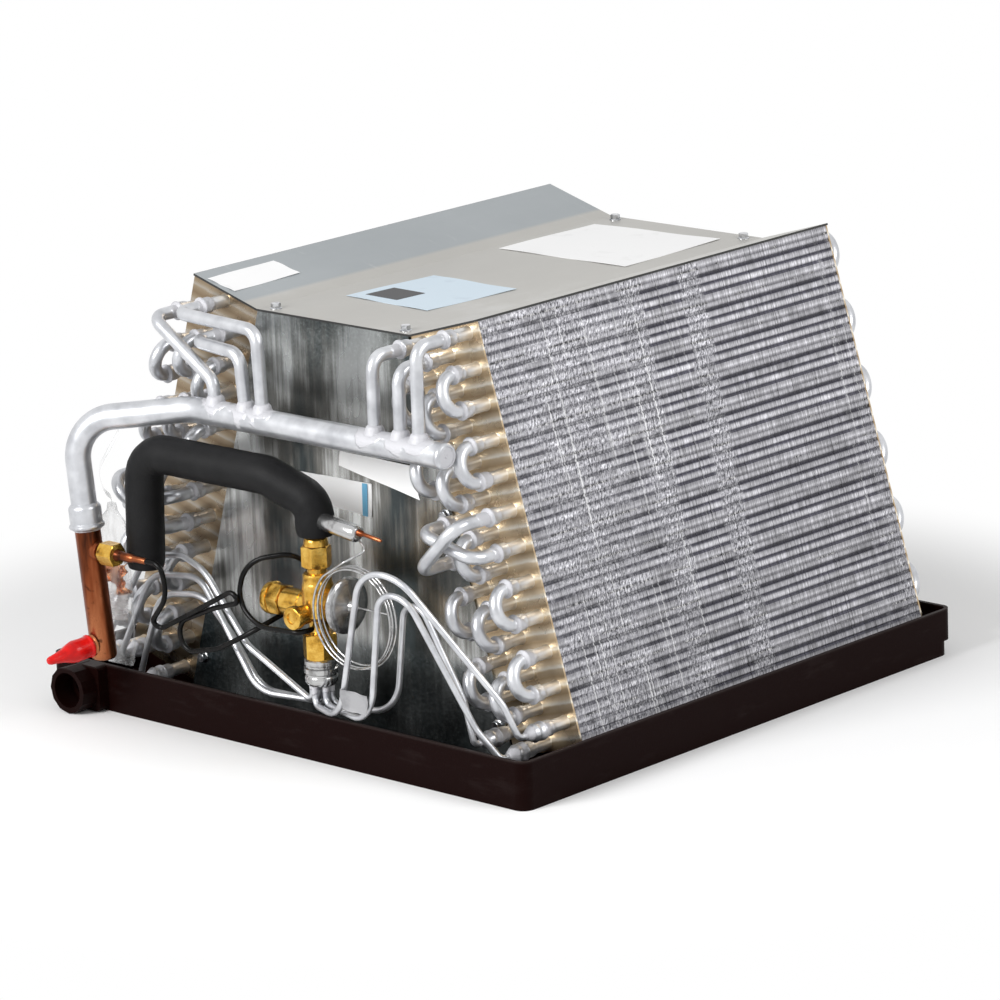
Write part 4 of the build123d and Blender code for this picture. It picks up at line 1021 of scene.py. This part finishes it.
cover_places, panel_places = [], []
for i, x in enumerate((-0.064, 0.064)):
    for j, y in enumerate((-157.5, 215.0)):
        cover_places.append(((x, y / 1000 + MIDDLE_Y, COVER_TOP), (0, 0, 0.7 * i + 1.1 * j)))
for side in (1, -1):
    for down in (0.128, 0.281):
        x, z = in_slab(side, 0.0735, down)
        panel_places.append(((x, PANEL_FRONT, z), (math.pi / 2, 0.5 + down * 9, 0)))
        panel_places.append(((x, PANEL_BACK, z), (-math.pi / 2, 0.2 + down * 7, 0)))
for kind, places in (("cover_screw", cover_places), ("panel_screw", panel_places)):
    washer = turned_piece("washer", (0, 0, 0), UP, WASHER, zinc, 24)
    head = hexagon_piece("head", (0, 0, 0.0008), (0, 0, 0.0042), 6.35, zinc)
    both = bmesh.new()
    both.from_mesh(washer.data)
    both.from_mesh(head.data)
    both.to_mesh(washer.data)
    both.free()
    bpy.data.objects.remove(head)
    screws = placed(f"{kind}_heads", washer, places, zinc)
    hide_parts(f"{kind}s")

# ---- labels ---------------------------------------------------------------------------------
# Paper labels stuck to the cover, the front panel and the capillaries, all of them bare. Their
# edges lift a little and the paper is slightly soiled.
PAPER, OFF_FACE, EDGE_LIFT = 0.00018, 0.00004, 0.0005
PAPERS = {
    "white": ((0.86, 0.86, 0.86), (0.74, 0.74, 0.735)),
    "pale_blue": ((0.56, 0.66, 0.74), (0.44, 0.52, 0.60)),
    "blue_stripe": ((0.12, 0.36, 0.55), (0.08, 0.28, 0.45)),
    "black_block": ((0.03, 0.03, 0.032), (0.05, 0.05, 0.052)),
    "grey": ((0.30, 0.30, 0.31), (0.17, 0.17, 0.18)),
}
papers = {}
for name, (tone, soiled) in PAPERS.items():
    paper = papers[name] = Finish("label_" + name)
    place = paper.place()
    cloud = paper.noise(place, 30.0, 6.0, 0.65)
    paper.shade(paper.ramp(cloud, (0.22, soiled), (0.42, tone)), rough=0.52)
    paper.bump(paper.noise(place, 1500.0, 2.0), 0.00015, 0.4)


def grid_faces(rows, columns, first=0):
    """The faces of a sheet whose corners are listed row by row."""
    faces = []
    for i in range(rows - 1):
        for j in range(columns - 1):
            k = first + i * columns + j
            faces.append([k, k + 1, k + columns + 1, k + columns])
    return faces


def label(name, corners, outward, paper, lift=EDGE_LIFT, steps=10):
    """A sheet of paper over four corners, its edges lifted off the face it is stuck to."""
    a, b, c, d = [Vector(p) for p in corners]
    outward = Vector(outward).normalized()
    top, under = [], []
    for i in range(steps + 1):
        for j in range(steps + 1):
            u, v = i / steps, j / steps
            place = a.lerp(b, u).lerp(d.lerp(c, u), v)
            edge = max(abs(2 * u - 1), abs(2 * v - 1)) ** 8
            wave = 0.5 + 0.5 * math.sin(9 * u + 5 * v)
            place += outward * (OFF_FACE + lift * edge * wave)
            under.append(place)
            top.append(place + outward * PAPER)
    n = steps + 1
    faces = grid_faces(n, n) + [face[::-1] for face in grid_faces(n, n, n * n)]
    rim = list(range(n)) + [i * n + steps for i in range(1, n)]
    rim += [steps * n + j for j in range(steps - 1, -1, -1)] + [i * n for i in range(steps - 1, 0, -1)]
    for k, m in zip(rim, rim[1:] + rim[:1]):
        faces.append([k, k + n * n, m + n * n, m])
    piece = mesh_piece(name, top + under, faces, papers[paper], 40)
    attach(piece, "root")
    return piece


def on_cover(*places):
    return [(x / 1000, y / 1000 + MIDDLE_Y, COVER_TOP) for x, y in places]


def on_wing(*places):
    """Places on the left wing's top, which rises outwards from its fold."""
    fold_x = 1000 * in_slab(-1, SLAB_DEPTH, 0)[0] + 1.5 * math.tan(LEAN / 2)
    return [pan_place(x, y, 1000 * COVER_TOP + (fold_x - x) * math.tan(LEAN)) for x, y in places]


def on_panel(*places):
    return [(x / 1000, PANEL_FRONT, z / 1000) for x, z in places]


wing_up = (math.sin(LEAN), 0, math.cos(LEAN))
block_corners = on_cover((-41, -88), (-9, -89), (-7, -61), (-39, -60))
stripe_corners = on_panel((24, 187.3), (29, 187.4), (28.5, 163.2), (23.5, 163.3))
flag_corners = route((73, -247, 63), (99, -247, 62), (98, -247, 47), (74, -247, 48))
label("nameplate_blank", on_cover((-50, -99), (34, -103), (40, -14), (-44, -12)), UP, "pale_blue")
label("cover_label", on_cover((-67, 85), (56, 88), (52, 202), (-66, 193)), UP, "white")
label("wing_label", on_wing((-127, -163), (-103, -160), (-105, -90), (-129, -93)), wing_up, "white")
block = label("nameplate_block", block_corners, UP, "black_block", 0.0)
label("panel_label", on_panel((3, 208), (72, 207), (80, 183), (1, 197)), FORWARD, "white")
label("panel_strip_label", on_panel((-45, 187), (33, 188), (32, 163), (-31, 167)), FORWARD, "white")
stripe = label("panel_label_stripe", stripe_corners, FORWARD, "blue_stripe", 0.0)
label("capillary_label", flag_corners, FORWARD, "grey", 0.002)
# the block and the stripe are printed, so they lie flat, each just proud of its label
block.data.transform(Matrix.Translation((0, 0, 0.00022)))
stripe.data.transform(Matrix.Translation((0, -0.0008, 0)))

# ---- bag of loose fittings --------------------------------------------------------------------
# A thin clear plastic bag hangs behind the stub on a clear tie from the header. It is gathered at
# its neck, creased down its length, and holds a twist of copper and a ribbed plastic cylinder.
film = Finish("clear_film")
crease = film.noise(film.place((75, 75, 26)))
film.shade((0.86, 0.87, 0.88), rough=0.12, alpha=film.spread(crease, 0.06, 0.42, 0.45, 0.68))
film.bump(crease, 0.003, 0.4)

BAG_X, BAG_Y = -163.5, -236.0
# height, width and thickness down the bag
BAG_FORM = [(160, 7, 5), (154, 10, 6), (147, 27, 7), (130, 30, 9), (95, 32, 13), (70, 32.6, 12), (50, 33, 10),
            (42, 31, 6), (38, 28, 3)]
BAG_STEPS, BAG_SIDES = 4, 72
loops = []
for i in range(BAG_STEPS * (len(BAG_FORM) - 1) + 1):
    above = BAG_FORM[i // BAG_STEPS]
    below = BAG_FORM[min(i // BAG_STEPS + 1, len(BAG_FORM) - 1)]
    share = i % BAG_STEPS / BAG_STEPS
    z, width, thickness = [a + (b - a) * share for a, b in zip(above, below)]
    loop = []
    for j in range(BAG_SIDES):
        angle = 2 * math.pi * j / BAG_SIDES
        c, s = math.cos(angle), math.sin(angle)
        pleat = 1 - 0.10 * abs(math.sin(6 * angle + z * 0.11)) - 0.05 * abs(math.sin(11 * angle - z * 0.07))
        x = BAG_X + width / 2 * math.copysign(abs(c) ** 0.6, c) * pleat
        y = BAG_Y + thickness / 2 * math.copysign(abs(s) ** 0.8, s) * pleat
        loop.append(pan_place(x, y, z))
    loops.append(loop)
bag = rings_to_mesh("fittings_bag", loops, film, 70)

# crumpled copper leaf: every corner of a small sheet pushed to and fro, with sharp folds
LEAF_ACROSS, LEAF_DOWN, LEAF_THICKNESS = 13, 11, 0.0004
leaf = []
for k in range(LEAF_ACROSS):
    for m in range(LEAF_DOWN):
        u, v = k / (LEAF_ACROSS - 1), m / (LEAF_DOWN - 1)
        x, z = -177 + 25 * u + 2.2 * math.sin(8 * v), 117 - 22 * v + 4 * math.sin(5 * u + 1)
        fold = 2.6 * math.sin(9.1 * u + 4.3 * v + 2 * math.sin(7 * v)) + 1.5 * math.sin(17 * v - 11 * u + 1)
        leaf.append(pan_place(x, BAG_Y + fold, z))
foil = Finish("bright_copper_leaf")
tone = foil.noise(foil.place(), 90.0)
foil.shade(foil.ramp(tone, (0.35, (0.50, 0.17, 0.07)), (0.6, (0.88, 0.45, 0.24))), 0.8, 0.25)
leaf_faces = [[a, d, c, b] for a, b, c, d in grid_faces(LEAF_ACROSS, LEAF_DOWN)]
copper_leaf = mesh_piece("copper_leaf", leaf, leaf_faces, foil, 20)
copper_leaf.modifiers.new("thicken", "SOLIDIFY").thickness = LEAF_THICKNESS
solid_leaf = evaluated_mesh(copper_leaf)
copper_leaf.modifiers.clear()
copper_leaf.data = solid_leaf

moulding = Finish("clear_moulding")
mist = moulding.noise(moulding.place(), 140.0)
moulding.shade((0.80, 0.78, 0.78), rough=0.2, alpha=moulding.spread(mist, 0.30, 0.70, 0.35, 0.65))
RIBBED = [(0, 13.6), (1.0, 14.0), (1.6, 13.2)]
RIBBED += [(2.2 + k * 1.05, 12.4 - 0.12 * k - 0.7 * (k % 2)) for k in range(16)] + [(19.6, 10.2), (20.2, 9.0)]
ribbed_top = pan_place(-164.5, BAG_Y, 92)
ribbed = turned_piece("ribbed_cylinder", ribbed_top, (0.06, 0, -1), RIBBED, moulding, 36, 60)
for vert in ribbed.data.vertices:
    vert.co.y = ribbed_top.y + (vert.co.y - ribbed_top.y) * 0.40

TIE = route((-143, -244.6, 217.8), (-167, -245, 186), (-163.5, -243, 170), (-163.5, -236, 164),
            (-163.5, -236, 158))
TIE_FACING, TIE_BEND = Vector((0.65, 0.75, 0.1)), 0.030
HALF_WIDTH, HALF_THICKNESS = 0.0022, 0.00035
strap_line = filleted(TIE, TIE_BEND, math.radians(3))
strap_edges = []
for here, after in zip(strap_line, strap_line[1:] + [strap_line[-1] * 2 - strap_line[-2]]):
    run = (after - here).normalized()
    flat = run.cross(TIE_FACING).normalized() * HALF_WIDTH
    thick = run.cross(flat).normalized() * HALF_THICKNESS
    strap_edges.append([here - flat - thick, here + flat - thick, here + flat + thick, here - flat + thick])
tie = rings_to_mesh("bag_clear_tie", strap_edges, film, 40)
for piece in (bag, copper_leaf, ribbed, tie):
    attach(piece, "root")
for piece, node in ((bag, "parts_bag"), (tie, "bag_tie")):
    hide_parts(node)

# ---- camera, floor and light ----------------------------------------------------------------
# A long lens above the front right corner, a pale floor and two soft lamps, with an even sky.
AMBIENT = 0.5
PLAIN_REACH, WHITE_REACH = 0.42, 0.62

camera_data = bpy.data.cameras.new("camera")
camera_data.sensor_width = 36.0
camera_data.lens = 190.9
camera_data.clip_end = 30
camera = new_piece("camera", camera_data)
roll, azimuth = math.radians(-2.035), math.radians(42.659)
away = Vector((0.6558, -0.7116, 0.2522)).normalized()
right = Vector((math.cos(azimuth), math.sin(azimuth), 0))
up = away.cross(right)
view_right = right * math.cos(roll) + up * math.sin(roll)
view_up = up * math.cos(roll) - right * math.sin(roll)
turn = Matrix((view_right, view_up, away)).transposed()
camera.matrix_world = Matrix.Translation((2.5769, -2.76074, 1.1255)) @ turn.to_4x4()
bpy.context.scene.camera = camera
bpy.context.scene.view_settings.view_transform = "Standard"


def seen_directly(finish):
    """1 for what the camera sees, straight, in metal or through clear film."""
    path = finish.add("ShaderNodeLightPath").outputs
    first = finish.maths("MAXIMUM", path["Is Camera Ray"], path["Is Glossy Ray"])
    return finish.maths("MAXIMUM", first, path["Is Transmission Ray"])


# A pale floor: plain paint near the object, where its shadow falls, then even white further out.
paint = Finish("floor_paint")
paint.shade((0.9, 0.9, 0.9), rough=0.9, specular=0.1)
reach = paint.add("ShaderNodeVectorMath", "LENGTH", in0=paint.place()).outputs["Value"]
far_out = paint.spread(reach, start=PLAIN_REACH, end=WHITE_REACH)
far_out.node.interpolation_type = "SMOOTHSTEP"
shown = paint.maths("MULTIPLY", far_out, seen_directly(paint))
white = paint.add("ShaderNodeEmission", Color=(1, 1, 1), Strength=1.0).outputs["Emission"]
plain = paint.nodes["Principled BSDF"].outputs["BSDF"]
mixed = paint.add("ShaderNodeMixShader", Fac=shown, in1=plain, in2=white)
plug(paint.nodes["Material Output"].inputs["Surface"], mixed.outputs["Shader"])
floor = mesh_piece("floor", [(-9, -9, 0), (9, -9, 0), (9, 9, 0), (-9, 9, 0)], [[0, 1, 2, 3]], paint)

world = bpy.data.worlds.new("studio")
bpy.context.scene.world = world
sky = Finish("sky", world)
strength = sky.maths("MULTIPLY_ADD", seen_directly(sky), 1.0 - AMBIENT, AMBIENT)
plug(sky.nodes["Background"].inputs["Color"], (1, 1, 1))
plug(sky.nodes["Background"].inputs["Strength"], strength)


def soft_light(name, place, aim, size, power):
    data = bpy.data.lights.new(name, "AREA")
    data.shape, data.size, data.energy = "SQUARE", size, power
    lamp = new_piece(name, data)
    lamp.location = place
    lamp.rotation_euler = (Vector(aim) - Vector(place)).to_track_quat("-Z", "Y").to_euler()


soft_light("key_light", (-0.3, -2.1, 1.2), (0, 0, 0.15), 0.9, 50)
soft_light("side_light", (2.1, 0.2, 1.5), (0, 0, 0.15), 1.0, 26)
